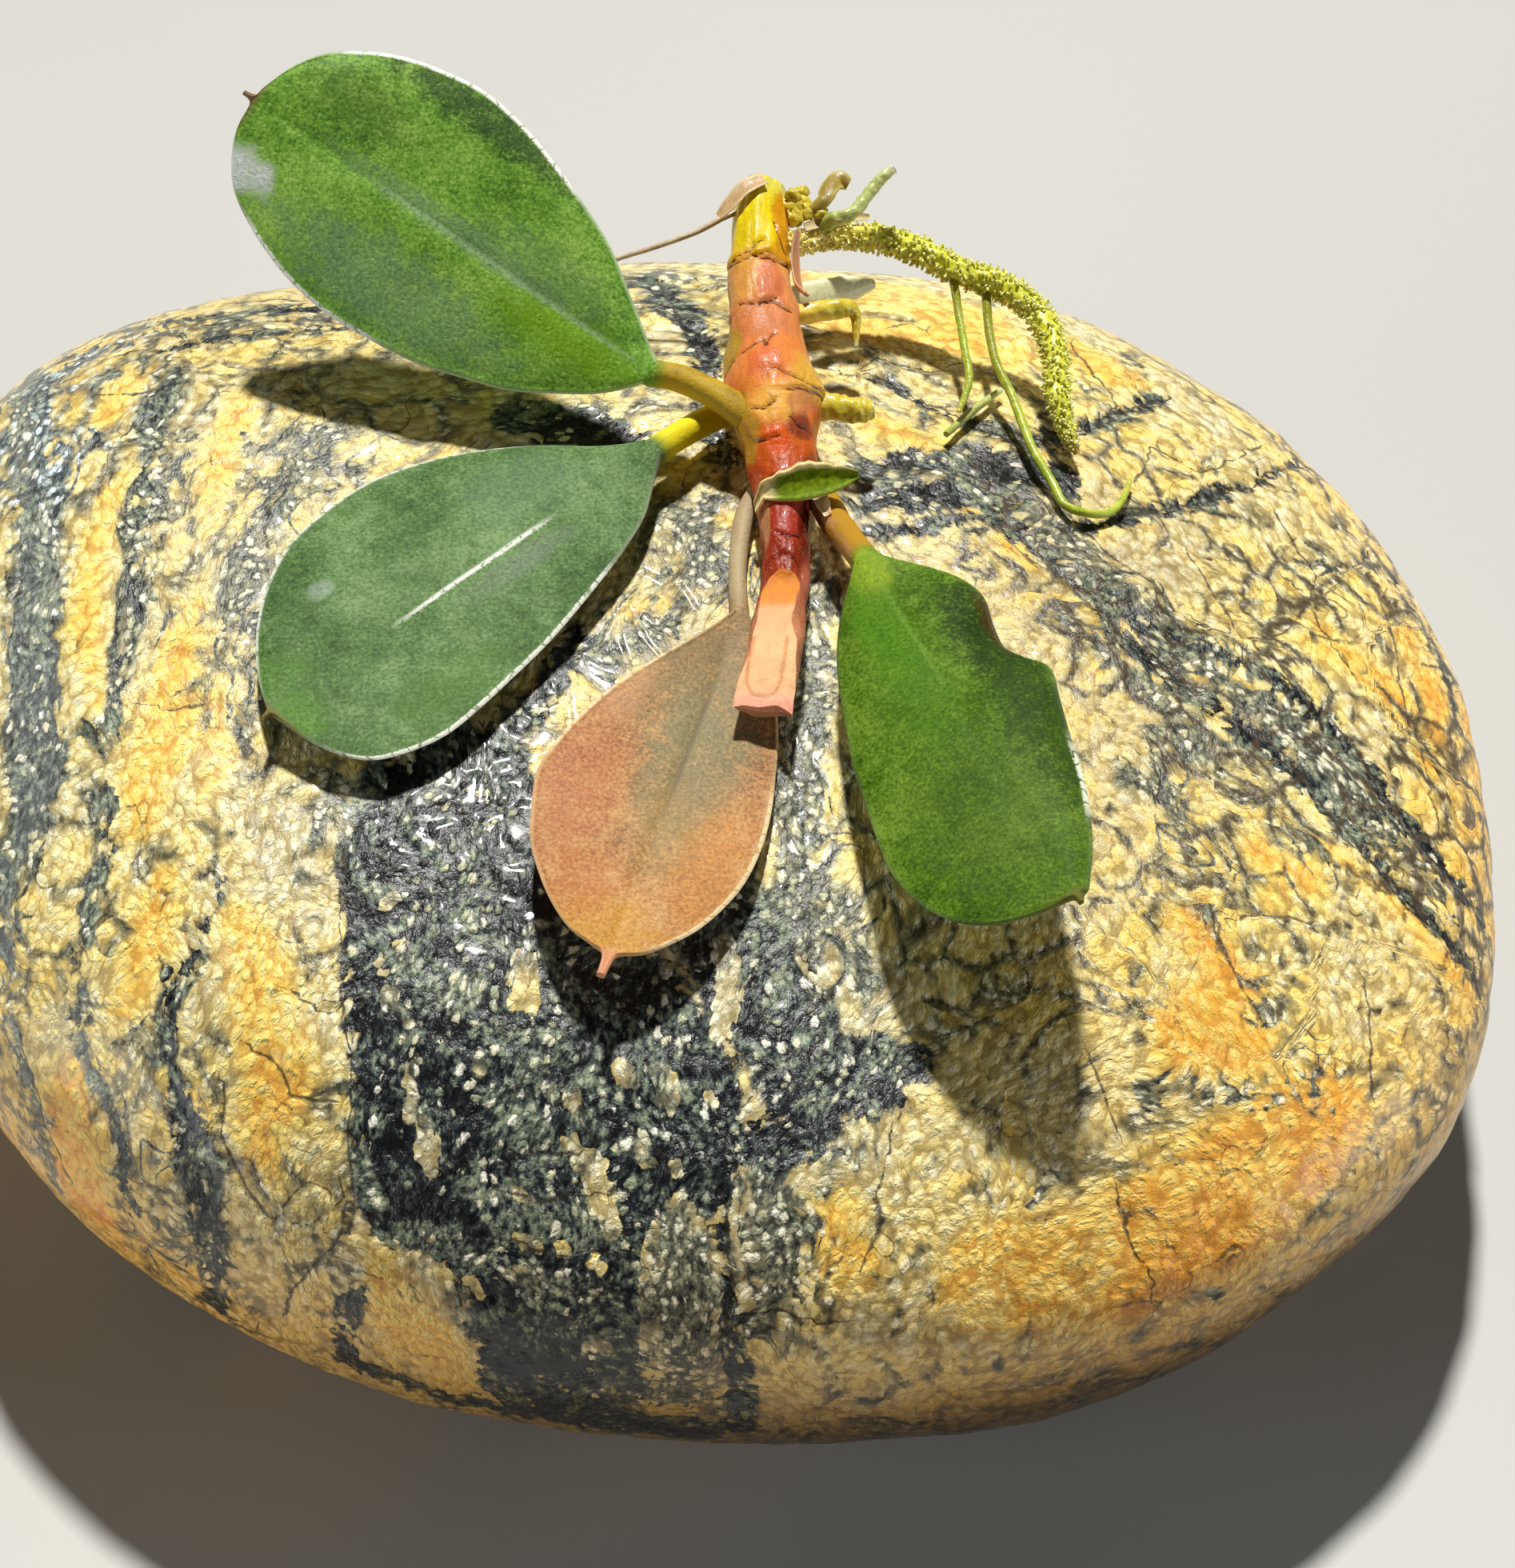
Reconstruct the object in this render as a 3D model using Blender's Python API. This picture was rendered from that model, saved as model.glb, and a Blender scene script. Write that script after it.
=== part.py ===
# Bucephalandra growing on a river pebble: four leaves, a creeping rhizome and its roots.
# Metres, +Z up. X runs to the right and Y away from the viewer. The origin is on the
# ground, under the middle of the pebble. Sizes below are in millimetres.

import math

import bmesh
import bpy
from mathutils import Vector, noise

MM = 0.001
GAP = 0.3                    # room left between pieces that touch

# Pebble
PEBBLE_RADII = (48, 48, 46.5, 43.5, 46.5, 58, 51.5, 49, 45, 43.5, 46.5, 49.5)  # every 30 degrees from +X
PEBBLE_SHIFT = 1.8           # middle of those radii, along X from the plant's own zero
PEBBLE_GIRTH = 17            # height of the widest line
PEBBLE_CROWN = 18            # from the girth up to the crown
PEBBLE_UNDER = 18.2          # from the girth down, before the resting face is cut at the ground
PEBBLE_LEAN = (-0.30, 0.10)  # how much the crown rises towards X and Y, over 50 mm
PEBBLE_EDGE = 0.76           # below 1 makes the sides fuller
PEBBLE_FLAT = 0.84           # below 1 makes the crown flatter
LUMP_HEIGHT = 0.45
LUMP_SPACING = 17
PEBBLE_COLUMNS = 48
PEBBLE_ROWS = 24

# Rhizome: x, y, z, radius from the cut lower end to the growing tip
RHIZOME = (
    (4.3, -8.8, 37.55, 1.75), (4.8, -4.8, 37.15, 1.65), (5.2, -1.2, 36.8, 1.55),
    (5.5, 2.4, 36.5, 1.42), (5.6, 6.0, 36.8, 1.55), (5.5, 9.6, 37.2, 1.9),
    (5.3, 13.0, 37.7, 2.35), (4.9, 16.4, 38.15, 2.85), (4.4, 20.4, 38.6, 2.25),
    (4.05, 24.6, 39.2, 1.95), (4.1, 28.6, 39.9, 1.85), (4.2, 32.2, 40.4, 1.45),
)
RHIZOME_RINGS = 38
RHIZOME_SIDES = 16
SCARS = (0.30, 0.44, 0.56, 0.665, 0.74, 0.86)   # places of the leaf scars along it, 0 to 1
SCAR_HEIGHT = 0.16
SCAR_WIDTH = 0.014
CUT_POINT = (5.4, 1.8, 37.95)   # the lower end is sliced off at a long slant
CUT_NORMAL = (0.0, -0.035, 1.0)

# Leaves: a row of each blade is distance from its base, half width right, half width left
LEAF_SIDES = 16
BLADE_THICK = 0.62
LEAVES = {
    "leaf_upper_left": dict(
        stalk=((4.4, 13.1, 37.8, 0.95), (2.9, 14.0, 38.9, 0.95), (1.2, 15.0, 39.5, 0.9),
               (-0.8, 15.8, 40.0, 0.85)),
        base=(-2.6, 15.9, 40.4), tip=(-26.9, 29.3, 50.6), faces=(-0.05, -0.64, 0.77),
        arch=0.7, droop_right=0.5, droop_left=0.5,
        rows=((0, 0.8, 0.8), (1.0, 1.4, 2.0), (2.2, 2.2, 3.1), (4.0, 3.4, 4.3), (6.5, 5.0, 5.8),
              (9.3, 6.2, 6.8), (12.3, 7.3, 7.7), (15.3, 8.1, 8.1), (18.2, 8.4, 8.3), (21.0, 8.0, 8.0),
              (23.5, 7.3, 7.3), (25.8, 6.2, 6.3), (27.5, 4.9, 5.2), (28.7, 3.1, 3.7), (29.4, 1.2, 2.1),
              (29.6, 0.35, 0.4), (30.3, 0.15, 0.15))),
    "leaf_middle_left": dict(
        stalk=((4.3, 17.0, 37.4, 0.95), (2.6, 16.3, 37.2, 0.95), (0.9, 14.9, 37.4, 0.9),
               (-1.0, 12.9, 37.9, 0.85)),
        base=(-2.5, 11.2, 38.2), tip=(-24.5, -9.5, 37.7), faces=(0.0, -0.12, 1.0),
        arch=0.3, droop_right=0.6, droop_left=0.0,
        rows=((0, 0.8, 0.8), (1.0, 1.7, 1.5), (2.2, 2.8, 2.4), (4.0, 4.5, 3.6), (6.4, 6.4, 4.6),
              (9.2, 8.1, 5.5), (12.1, 9.2, 6.3), (15.0, 9.8, 7.0), (18.0, 9.7, 7.5), (21.0, 9.1, 7.9),
              (23.7, 7.8, 8.0), (26.1, 5.9, 7.4), (27.9, 3.9, 6.4), (29.1, 2.1, 4.6), (29.7, 0.9, 2.6),
              (30.0, 0.4, 0.4), (30.6, 0.15, 0.15))),
    "leaf_brown": dict(
        stalk=((4.6, 10.4, 36.9, 0.6), (3.35, 8.6, 36.1, 0.6), (2.9, 6.2, 35.85, 0.6),
               (2.75, 3.2, 35.85, 0.55)),
        base=(2.9, -0.1, 35.76), tip=(-4.4, -26.0, 36.2), faces=(0.17, 0.0, 1.0),
        arch=-0.1, droop_right=-0.5, droop_left=-0.1,
        rows=((0, 0.6, 0.6), (0.9, 1.1, 1.2), (2.0, 1.7, 2.0), (3.6, 2.7, 3.0), (5.7, 4.0, 3.9),
              (8.1, 5.3, 4.7), (10.8, 6.5, 5.3), (13.5, 7.3, 5.8), (16.2, 7.7, 6.0), (18.9, 7.2, 5.8),
              (21.3, 6.5, 5.1), (23.5, 5.2, 4.1), (25.1, 3.9, 2.9), (26.2, 2.6, 1.8), (26.7, 1.3, 0.8),
              (27.1, 0.4, 0.4), (28.5, 0.25, 0.25))),
    "leaf_right": dict(
        stalk=((6.2, 10.4, 37.1, 0.95), (7.7, 8.8, 37.1, 0.95), (8.7, 6.2, 37.3, 0.95),
               (9.7, 3.9, 37.8, 0.9)),
        base=(10.5, 1.9, 38.4), tip=(21.6, -25.6, 41.0), faces=(-0.30, -0.10, 0.95),
        arch=0.5, droop_right=0.6, droop_left=1.6,
        rows=((0, 0.8, 0.8), (0.9, 1.7, 1.7), (2.2, 2.8, 3.0), (4.0, 3.9, 4.2), (6.0, 4.8, 4.8),
              (8.0, 5.5, 4.4), (9.8, 6.0, 4.3), (11.6, 6.5, 4.9), (13.4, 7.0, 5.8), (15.8, 7.4, 5.3),
              (18.8, 7.9, 4.6), (21.8, 8.2, 4.0), (24.7, 7.7, 3.1), (27.1, 6.5, 2.1), (28.6, 4.7, 1.3),
              (29.5, 2.3, 0.8), (29.8, 0.4, 0.4), (30.4, 0.15, 0.15))),
}

# The small cupped leaf at the crown of the rhizome's lower part
YOUNG_LEAF = dict(
    stalk=((3.75, 6.9, 37.9, 0.35),),
    base=(4.2, 7.5, 38.8), tip=(10.2, 8.3, 39.4), faces=(0.0, -0.64, 0.77),
    arch=0.55, droop_right=-0.3, droop_left=-0.5,
    rows=((0, 0.55, 0.45), (0.8, 0.8, 0.7), (1.8, 1.0, 1.0), (3.0, 1.05, 1.1), (4.2, 0.9, 0.85),
          (5.2, 0.55, 0.5), (5.9, 0.2, 0.2)))
YOUNG_THICK = 0.5

# Round pieces: x, y, z, radius along each
ROOT_HAIRY = (
    (4.8, 28.1, 39.6, 0.95), (6.6, 28.6, 39.3, 0.95), (8.6, 29.6, 38.9, 1.05), (11.4, 30.0, 38.4, 1.15),
    (14.2, 29.5, 37.7, 1.15), (16.8, 28.3, 37.0, 1.15), (19.5, 27.6, 36.4, 1.15), (21.5, 26.0, 35.8, 1.15),
    (22.6, 23.1, 35.3, 1.1), (22.7, 19.8, 34.5, 1.0), (23.3, 17.6, 33.4, 0.7), (23.9, 16.6, 32.6, 0.3),
)
ROOT_LONG = (
    (18.4, 27.6, 36.3, 0.42), (18.5, 25.3, 35.5, 0.42), (18.9, 22.6, 34.8, 0.42), (19.9, 20.0, 34.2, 0.4),
    (21.0, 16.3, 33.5, 0.4), (22.2, 13.7, 33.0, 0.38), (22.9, 12.0, 32.88, 0.36), (24.3, 11.6, 32.55, 0.34),
    (25.7, 12.1, 32.05, 0.32), (26.6, 13.5, 31.75, 0.3), (27.2, 15.5, 31.45, 0.24),
)
ROOT_SHORT = (
    (16.3, 28.2, 36.8, 0.4), (16.6, 26.0, 36.0, 0.38), (16.9, 23.6, 35.4, 0.36), (17.2, 21.1, 34.8, 0.34),
    (16.9, 19.8, 34.4, 0.3), (16.5, 18.8, 34.1, 0.22),
)
ROOT_PALE = ((15.7, 17.3, 33.6, 0.22), (17.3, 19.7, 33.1, 0.28), (19.3, 22.3, 32.5, 0.2))
ROOT_BARE = (
    (8.6, 29.2, 41.0, 0.5), (9.2, 28.8, 41.2, 0.5), (10.1, 29.2, 41.5, 0.45), (11.0, 30.4, 41.9, 0.42),
    (11.7, 31.2, 42.3, 0.4), (12.5, 31.8, 42.6, 0.34),
)
FIBRE = (
    (3.6, 30.4, 40.6, 0.2), (2.0, 29.7, 40.5, 0.2), (0.1, 28.6, 40.2, 0.2), (-2.4, 27.9, 39.6, 0.18),
    (-4.7, 27.5, 39.0, 0.17), (-6.7, 27.1, 38.3, 0.16), (-8.5, 26.8, 37.5, 0.14),
)
STUB_UPPER = (
    (5.0, 22.3, 38.7, 0.75), (6.8, 22.9, 38.6, 0.7), (8.4, 23.4, 38.45, 0.68), (9.5, 23.7, 38.3, 0.62),
    (10.05, 23.5, 37.9, 0.4), (10.1, 22.7, 37.3, 0.25), (10.1, 21.9, 36.8, 0.14),
)
STUB_LOWER = (
    (5.6, 15.7, 38.2, 1.05), (7.8, 15.4, 38.1, 0.95), (9.4, 15.1, 38.05, 0.85), (10.5, 15.05, 38.0, 0.8),
    (11.1, 15.1, 38.0, 0.5),
)
KNOB = ((4.9, 30.6, 40.2, 0.7), (6.1, 30.7, 40.3, 0.95), (6.9, 30.8, 40.4, 0.8), (7.3, 30.95, 40.45, 0.5))
KNOB_GIRTH_ROWS = 8

# Flat scales: x, y, z, half width, and the way that the scale's flat side faces
SCALES = {
    "scale_tip": dict(
        path=((4.35, 31.2, 42.25, 0.45), (3.2, 30.5, 42.2, 0.6), (2.2, 29.5, 41.7, 0.55), (1.55, 28.9, 41.2, 0.3)),
        faces=(-0.6, -0.4, 0.7), thick=0.35),
    "scale_curled": dict(
        path=((8.1, 30.3, 41.35, 0.4), (8.5, 31.4, 41.45, 0.65), (9.1, 32.2, 41.3, 0.65), (9.7, 32.0, 41.1, 0.4)),
        faces=(-0.3, -0.5, 0.8), thick=0.4),
    "scale_side": dict(
        path=((6.4, 27.9, 40.95, 0.25), (6.25, 26.4, 40.0, 0.42), (6.45, 24.6, 39.5, 0.42), (7.0, 23.3, 39.85, 0.22)),
        faces=(0.8, -0.2, 0.6), thick=0.35),
    "scale_under_root": dict(
        path=((5.9, 25.0, 38.0, 0.6), (7.8, 25.9, 37.5, 0.9), (9.8, 26.9, 37.0, 0.8), (11.3, 27.8, 36.5, 0.35)),
        faces=(0.05, -0.5, 0.85), thick=0.45),
}

# Base colour, roughness and metallic value of each finish
FINISHES = {
    "stone": ((0.52, 0.36, 0.15), 0.42, 0.0),
    "rhizome": ((0.42, 0.12, 0.05), 0.35, 0.0),
    "leaf": ((0.07, 0.19, 0.035), 0.32, 0.0),
    "brown_leaf": ((0.36, 0.16, 0.05), 0.35, 0.0),
    "young_leaf": ((0.20, 0.36, 0.04), 0.35, 0.0),
    "stub": ((0.22, 0.20, 0.03), 0.4, 0.0),
    "scale": ((0.60, 0.42, 0.22), 0.5, 0.0),
    "root": ((0.36, 0.42, 0.05), 0.45, 0.0),
    "pale_root": ((0.52, 0.56, 0.30), 0.45, 0.0),
}


def clear_scene():
    for old in list(bpy.data.objects):
        bpy.data.objects.remove(old, do_unlink=True)


def finish(name):
    material = bpy.data.materials.get(name)
    if material is None:
        color, roughness, metallic = FINISHES[name]
        material = bpy.data.materials.new(name)
        material.use_nodes = True
        shader = material.node_tree.nodes["Principled BSDF"]
        shader.inputs["Base Color"].default_value = (*color, 1.0)
        shader.inputs["Roughness"].default_value = roughness
        shader.inputs["Metallic"].default_value = metallic
    return material


def close(bm):
    """Weld the seam and fill the open ends."""
    bmesh.ops.remove_doubles(bm, verts=bm.verts, dist=1e-5)
    open_edges = [edge for edge in bm.edges if edge.is_boundary]
    bmesh.ops.holes_fill(bm, edges=open_edges, sides=0)


def new_object(name, bm, finish_name, parent):
    """Close the surface, turn its faces out and put it in the scene, in metres."""
    close(bm)
    bmesh.ops.recalc_face_normals(bm, faces=bm.faces)
    bmesh.ops.scale(bm, vec=(MM, MM, MM), verts=bm.verts)
    mesh = bpy.data.meshes.new(name)
    bm.to_mesh(mesh)
    bm.free()
    mesh.shade_smooth()
    mesh.set_sharp_from_angle(angle=math.radians(50))
    mesh.materials.append(finish(finish_name))
    piece = bpy.data.objects.new(name, mesh)
    bpy.context.scene.collection.objects.link(piece)
    piece.parent = parent
    return piece


def spline(a, b, c, d, t):
    """A Catmull-Rom step from b to c, for numbers or vectors."""
    return 0.5 * (2 * b + (c - a) * t + (2 * a - 5 * b + 4 * c - d) * t ** 2 + (3 * b - a - 3 * c + d) * t ** 3)


def along(points, t):
    """The point at t, 0 to 1, on the smooth curve through the points: place and radius."""
    steps = len(points) - 1
    k = min(int(t * steps), steps - 1)
    around = [Vector(points[min(max(k + i, 0), steps)]) for i in (-1, 0, 1, 2)]
    return spline(*around, t * steps - k)


def rolled_grid(rows, sides, place):
    """A tube: a grid of rows by sides, rolled up by place(row, angle)."""
    bm = bmesh.new()
    bmesh.ops.create_grid(bm, x_segments=rows - 1, y_segments=sides, size=0.5)
    for vert in bm.verts:
        row = round((vert.co.x + 0.5) * (rows - 1))
        side = round((vert.co.y + 0.5) * sides) % sides
        vert.co = place(row, 2 * math.pi * side / sides)
    return bm


def frame_at(points, t, faces):
    """Place, radius, sideways and outward directions of a section at t."""
    here = along(points, t)
    ahead = along(points, min(t + 0.01, 1.0)) - along(points, max(t - 0.01, 0.0))
    forward = ahead.to_3d().normalized()
    across = forward.cross(faces).normalized()
    return here.to_3d(), here[3], across, across.cross(forward)


def round_piece(name, points, rows, sides, finish_name, parent, faces=(0.0, -0.5, 1.0), grow=0.0):
    """A tapered round piece along a smooth curve through its points."""
    faces = Vector(faces)

    def place(row, angle):
        centre, radius, across, out = frame_at(points, row / (rows - 1), faces)
        return centre + (across * math.cos(angle) + out * math.sin(angle)) * (radius + grow)

    return new_object(name, rolled_grid(rows, sides, place), finish_name, parent)


def scale_piece(name, path, faces, thick, parent, rows=9, sides=10):
    """A thin dry scale: a flat section along a smooth curve."""
    faces = Vector(faces)

    def place(row, angle):
        centre, half_width, across, out = frame_at(path, row / (rows - 1), faces)
        lift = math.copysign(abs(math.sin(angle)) ** 0.6, math.sin(angle))
        return centre + across * math.cos(angle) * half_width + out * lift * thick / 2

    return new_object(name, rolled_grid(rows, sides, place), "scale", parent)


def pebble_radius(angle):
    """Plan radius at an angle, through the radii that are given every 30 degrees."""
    count = len(PEBBLE_RADII)
    turn = (angle / (2 * math.pi)) % 1.0 * count
    k = int(turn) % count
    return spline(*(PEBBLE_RADII[(k + i) % count] for i in (-1, 0, 1, 2)), turn - int(turn))


def pebble(parent):
    """A round of latitude and longitude lines, swelled to the pebble's plan and profile."""
    bm = bmesh.new()
    bmesh.ops.create_uvsphere(bm, u_segments=PEBBLE_COLUMNS, v_segments=PEBBLE_ROWS, radius=1.0)
    for vert in bm.verts:
        height = max(-1.0, min(1.0, vert.co.z))
        angle = math.atan2(vert.co.y, vert.co.x)
        reach = pebble_radius(angle) * (1 - height ** 2) ** (PEBBLE_EDGE / 2)
        x = reach * math.cos(angle)
        y = reach * math.sin(angle)
        rise = abs(height) ** PEBBLE_FLAT
        if height > 0:
            z = PEBBLE_GIRTH + PEBBLE_CROWN * rise * (1 + (PEBBLE_LEAN[0] * x + PEBBLE_LEAN[1] * y) / 50)
        else:
            z = PEBBLE_GIRTH - PEBBLE_UNDER * rise
        place = Vector((x, y, z))
        outward = Vector((x, y, (z - PEBBLE_GIRTH) * 2)).normalized()
        vert.co = place + outward * LUMP_HEIGHT * noise.noise(place / LUMP_SPACING)
    geometry = bm.verts[:] + bm.edges[:] + bm.faces[:]
    bmesh.ops.bisect_plane(bm, geom=geometry, dist=1e-4, plane_co=(0, 0, 0), plane_no=(0, 0, -1), clear_outer=True)
    bmesh.ops.translate(bm, verts=bm.verts, vec=(PEBBLE_SHIFT, 0, 0))
    return new_object("stone", bm, "stone", parent)


def centre_on(stone, parent):
    """Move the whole so that its origin is under the middle of the stone's plan."""
    xs = [vert.co.x for vert in stone.data.vertices]
    ys = [vert.co.y for vert in stone.data.vertices]
    parent.location = (-(min(xs) + max(xs)) / 2, -(min(ys) + max(ys)) / 2, 0)


def rhizome_body(grow):
    """The rhizome's round skin with its ring-like leaf scars."""
    def place(row, angle):
        t = row / (RHIZOME_RINGS - 1)
        centre, radius, across, out = frame_at(RHIZOME, t, Vector((0.0, -0.3, 1.0)))
        scar = sum(math.exp(-((t - mark) / SCAR_WIDTH) ** 2) for mark in SCARS) * SCAR_HEIGHT
        ripple = 0.06 * math.sin(3 * angle + 9 * t)
        return centre + (across * math.cos(angle) + out * math.sin(angle)) * (radius + scar + ripple + grow)

    return rolled_grid(RHIZOME_RINGS, RHIZOME_SIDES, place)


def rhizome(parent):
    """The rhizome, its lower end sliced off at a slant."""
    bm = rhizome_body(0.0)
    close(bm)
    lower = {vert for vert in bm.verts if vert.co.y < CUT_POINT[1]}
    edges = [edge for edge in bm.edges if set(edge.verts) <= lower]
    faces = [face for face in bm.faces if set(face.verts) <= lower]
    bmesh.ops.bisect_plane(bm, geom=list(lower) + edges + faces, dist=1e-4, plane_co=CUT_POINT,
                           plane_no=CUT_NORMAL, clear_outer=True)
    return new_object("rhizome", bm, "rhizome", parent)


def keep_clear(piece, cutter):
    """Trim a piece where it would run into its neighbour, which the cutter wraps with a gap."""
    trim = piece.modifiers.new("clear_of_" + cutter.name, 'BOOLEAN')
    trim.operation = 'DIFFERENCE'
    trim.solver = 'EXACT'
    trim.object = cutter


def hide_cutter(cutter):
    cutter.hide_render = True
    cutter.display_type = 'WIRE'
    return cutter


def leaf(name, shape, finish_name, parent, thick=BLADE_THICK):
    """Stalk and blade in one: a round section that spreads into a thin blade with a pointed tip."""
    base = Vector(shape["base"])
    run = (Vector(shape["tip"]) - base).normalized()
    faces = Vector(shape["faces"])
    normal = (faces - run * faces.dot(run)).normalized()
    right = run.cross(normal)
    length = shape["rows"][-1][0]
    stalk = list(shape["stalk"])
    stalk_path = stalk + [(*base, stalk[-1][3])]
    stalk_rows = 2 * len(stalk)
    stalk_radius = stalk[-1][3]
    rows = shape["rows"]

    def place(row, angle):
        side = math.cos(angle)
        rise = math.copysign(abs(math.sin(angle)) ** 0.55, math.sin(angle))
        if row < stalk_rows:
            centre, radius, across, out = frame_at(stalk_path, row / stalk_rows, normal)
            flat = rise if row > stalk_rows - 2 else math.sin(angle)
            return centre + across * side * radius + out * flat * radius
        distance, half_right, half_left = rows[row - stalk_rows]
        t = distance / length
        centre = base + run * distance + normal * shape["arch"] * math.sin(math.pi * t)
        fade = max(0.0, 1 - distance / (4 * stalk_radius))
        half_thick = thick / 2 + (stalk_radius - thick / 2) * fade ** 2
        half_thick = min(half_thick, max(half_right, half_left))
        width = half_right if side > 0 else half_left
        droop = shape["droop_right"] if side > 0 else shape["droop_left"]
        drop = droop * side ** 2 * math.sin(math.pi * min(t, 1.0)) ** 0.5 if 0 < t < 1 else 0.0
        return centre + right * side * width + normal * (rise * half_thick - drop)

    total_rows = stalk_rows + len(rows)
    return new_object(name, rolled_grid(total_rows, LEAF_SIDES, place), finish_name, parent)


def build():
    clear_scene()
    plant = bpy.data.objects.new("plant_on_stone", None)
    bpy.context.scene.collection.objects.link(plant)
    centre_on(pebble(plant), plant)
    rhizome(plant)
    stem_room = hide_cutter(new_object("stem_room", rhizome_body(GAP), "rhizome", plant))
    root_room = hide_cutter(round_piece("root_room", ROOT_HAIRY, 30, 10, "root", plant, grow=GAP))

    for name, shape in LEAVES.items():
        keep_clear(leaf(name, shape, "brown_leaf" if name == "leaf_brown" else "leaf", plant), stem_room)
    keep_clear(leaf("young_leaf", YOUNG_LEAF, "young_leaf", plant, YOUNG_THICK), stem_room)

    keep_clear(round_piece("root_hairy", ROOT_HAIRY, 30, 10, "root", plant), stem_room)
    keep_clear(round_piece("root_long", ROOT_LONG, 22, 7, "root", plant), root_room)
    keep_clear(round_piece("root_short", ROOT_SHORT, 12, 7, "root", plant), root_room)
    round_piece("root_pale", ROOT_PALE, 6, 6, "pale_root", plant)
    round_piece("root_bare", ROOT_BARE, 12, 8, "pale_root", plant)
    keep_clear(round_piece("fibre_left", FIBRE, 12, 6, "pale_root", plant), stem_room)
    keep_clear(round_piece("stub_upper", STUB_UPPER, 14, 8, "stub", plant), stem_room)
    keep_clear(round_piece("stub_lower", STUB_LOWER, 9, 10, "stub", plant), stem_room)
    keep_clear(round_piece("side_knob", KNOB, KNOB_GIRTH_ROWS, 10, "stub", plant), stem_room)
    for name, shape in SCALES.items():
        keep_clear(scale_piece(name, parent=plant, **shape), stem_room)


build()
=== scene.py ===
import math
import random

import bmesh
import bpy
import numpy as np
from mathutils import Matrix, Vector, noise
from mathutils.bvhtree import BVHTree


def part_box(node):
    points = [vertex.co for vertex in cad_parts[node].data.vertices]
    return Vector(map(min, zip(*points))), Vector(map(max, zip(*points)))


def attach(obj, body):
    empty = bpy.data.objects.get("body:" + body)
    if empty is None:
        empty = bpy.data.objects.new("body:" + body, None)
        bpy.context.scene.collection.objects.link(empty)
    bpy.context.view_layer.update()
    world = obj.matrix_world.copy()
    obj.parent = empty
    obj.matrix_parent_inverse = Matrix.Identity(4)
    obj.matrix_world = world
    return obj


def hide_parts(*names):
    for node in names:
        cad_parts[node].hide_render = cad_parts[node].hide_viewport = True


# The looks of a bucephalandra that creeps over a banded river pebble. Sizes are in millimetres
# until a piece is finished. X runs to the right, Y away and Z up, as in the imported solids.
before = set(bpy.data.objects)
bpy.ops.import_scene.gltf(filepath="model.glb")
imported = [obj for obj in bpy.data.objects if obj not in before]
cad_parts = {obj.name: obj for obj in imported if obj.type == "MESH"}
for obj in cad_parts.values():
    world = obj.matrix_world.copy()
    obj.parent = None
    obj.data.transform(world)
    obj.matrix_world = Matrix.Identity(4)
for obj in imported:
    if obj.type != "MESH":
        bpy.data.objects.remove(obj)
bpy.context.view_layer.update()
print("solids loaded:", len(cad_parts))

mm = 0.001
plantPlace = Vector((1.149, -0.015, 0.0))    # the plant's own zero, from the middle of the stone
towardCamera = Vector((0.0, -0.64, 0.77))    # the side that the photograph shows
random.seed(7)
noise.seed_set(7)    # without it the vector noise differs from run to run


# Materials. Maths on a Value adds nodes, so shader maths reads as Python.
class Value:
    def __init__(self, finish, socket):
        self.finish = finish
        self.socket = socket

    def __add__(self, other):
        return self.finish.math("ADD", self, other)

    def __sub__(self, other):
        return self.finish.math("SUBTRACT", self, other)

    def __rsub__(self, other):
        return self.finish.math("SUBTRACT", other, self)

    def __mul__(self, other):
        return self.finish.math("MULTIPLY", self, other)

    def __truediv__(self, other):
        return self.finish.math("DIVIDE", self, other)

    def __pow__(self, other):
        return self.finish.math("POWER", self, other)

    def __abs__(self):
        return self.finish.math("ABSOLUTE", self)

    __radd__, __rmul__ = __add__, __mul__


def linear(color):
    # a screen colour, 0 to 255, as the linear colour that a shader wants
    parts = [part / 255 for part in color]
    parts = [part / 12.92 if part < 0.04045 else ((part + 0.055) / 1.055) ** 2.4 for part in parts]
    return *parts, 1.0


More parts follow.
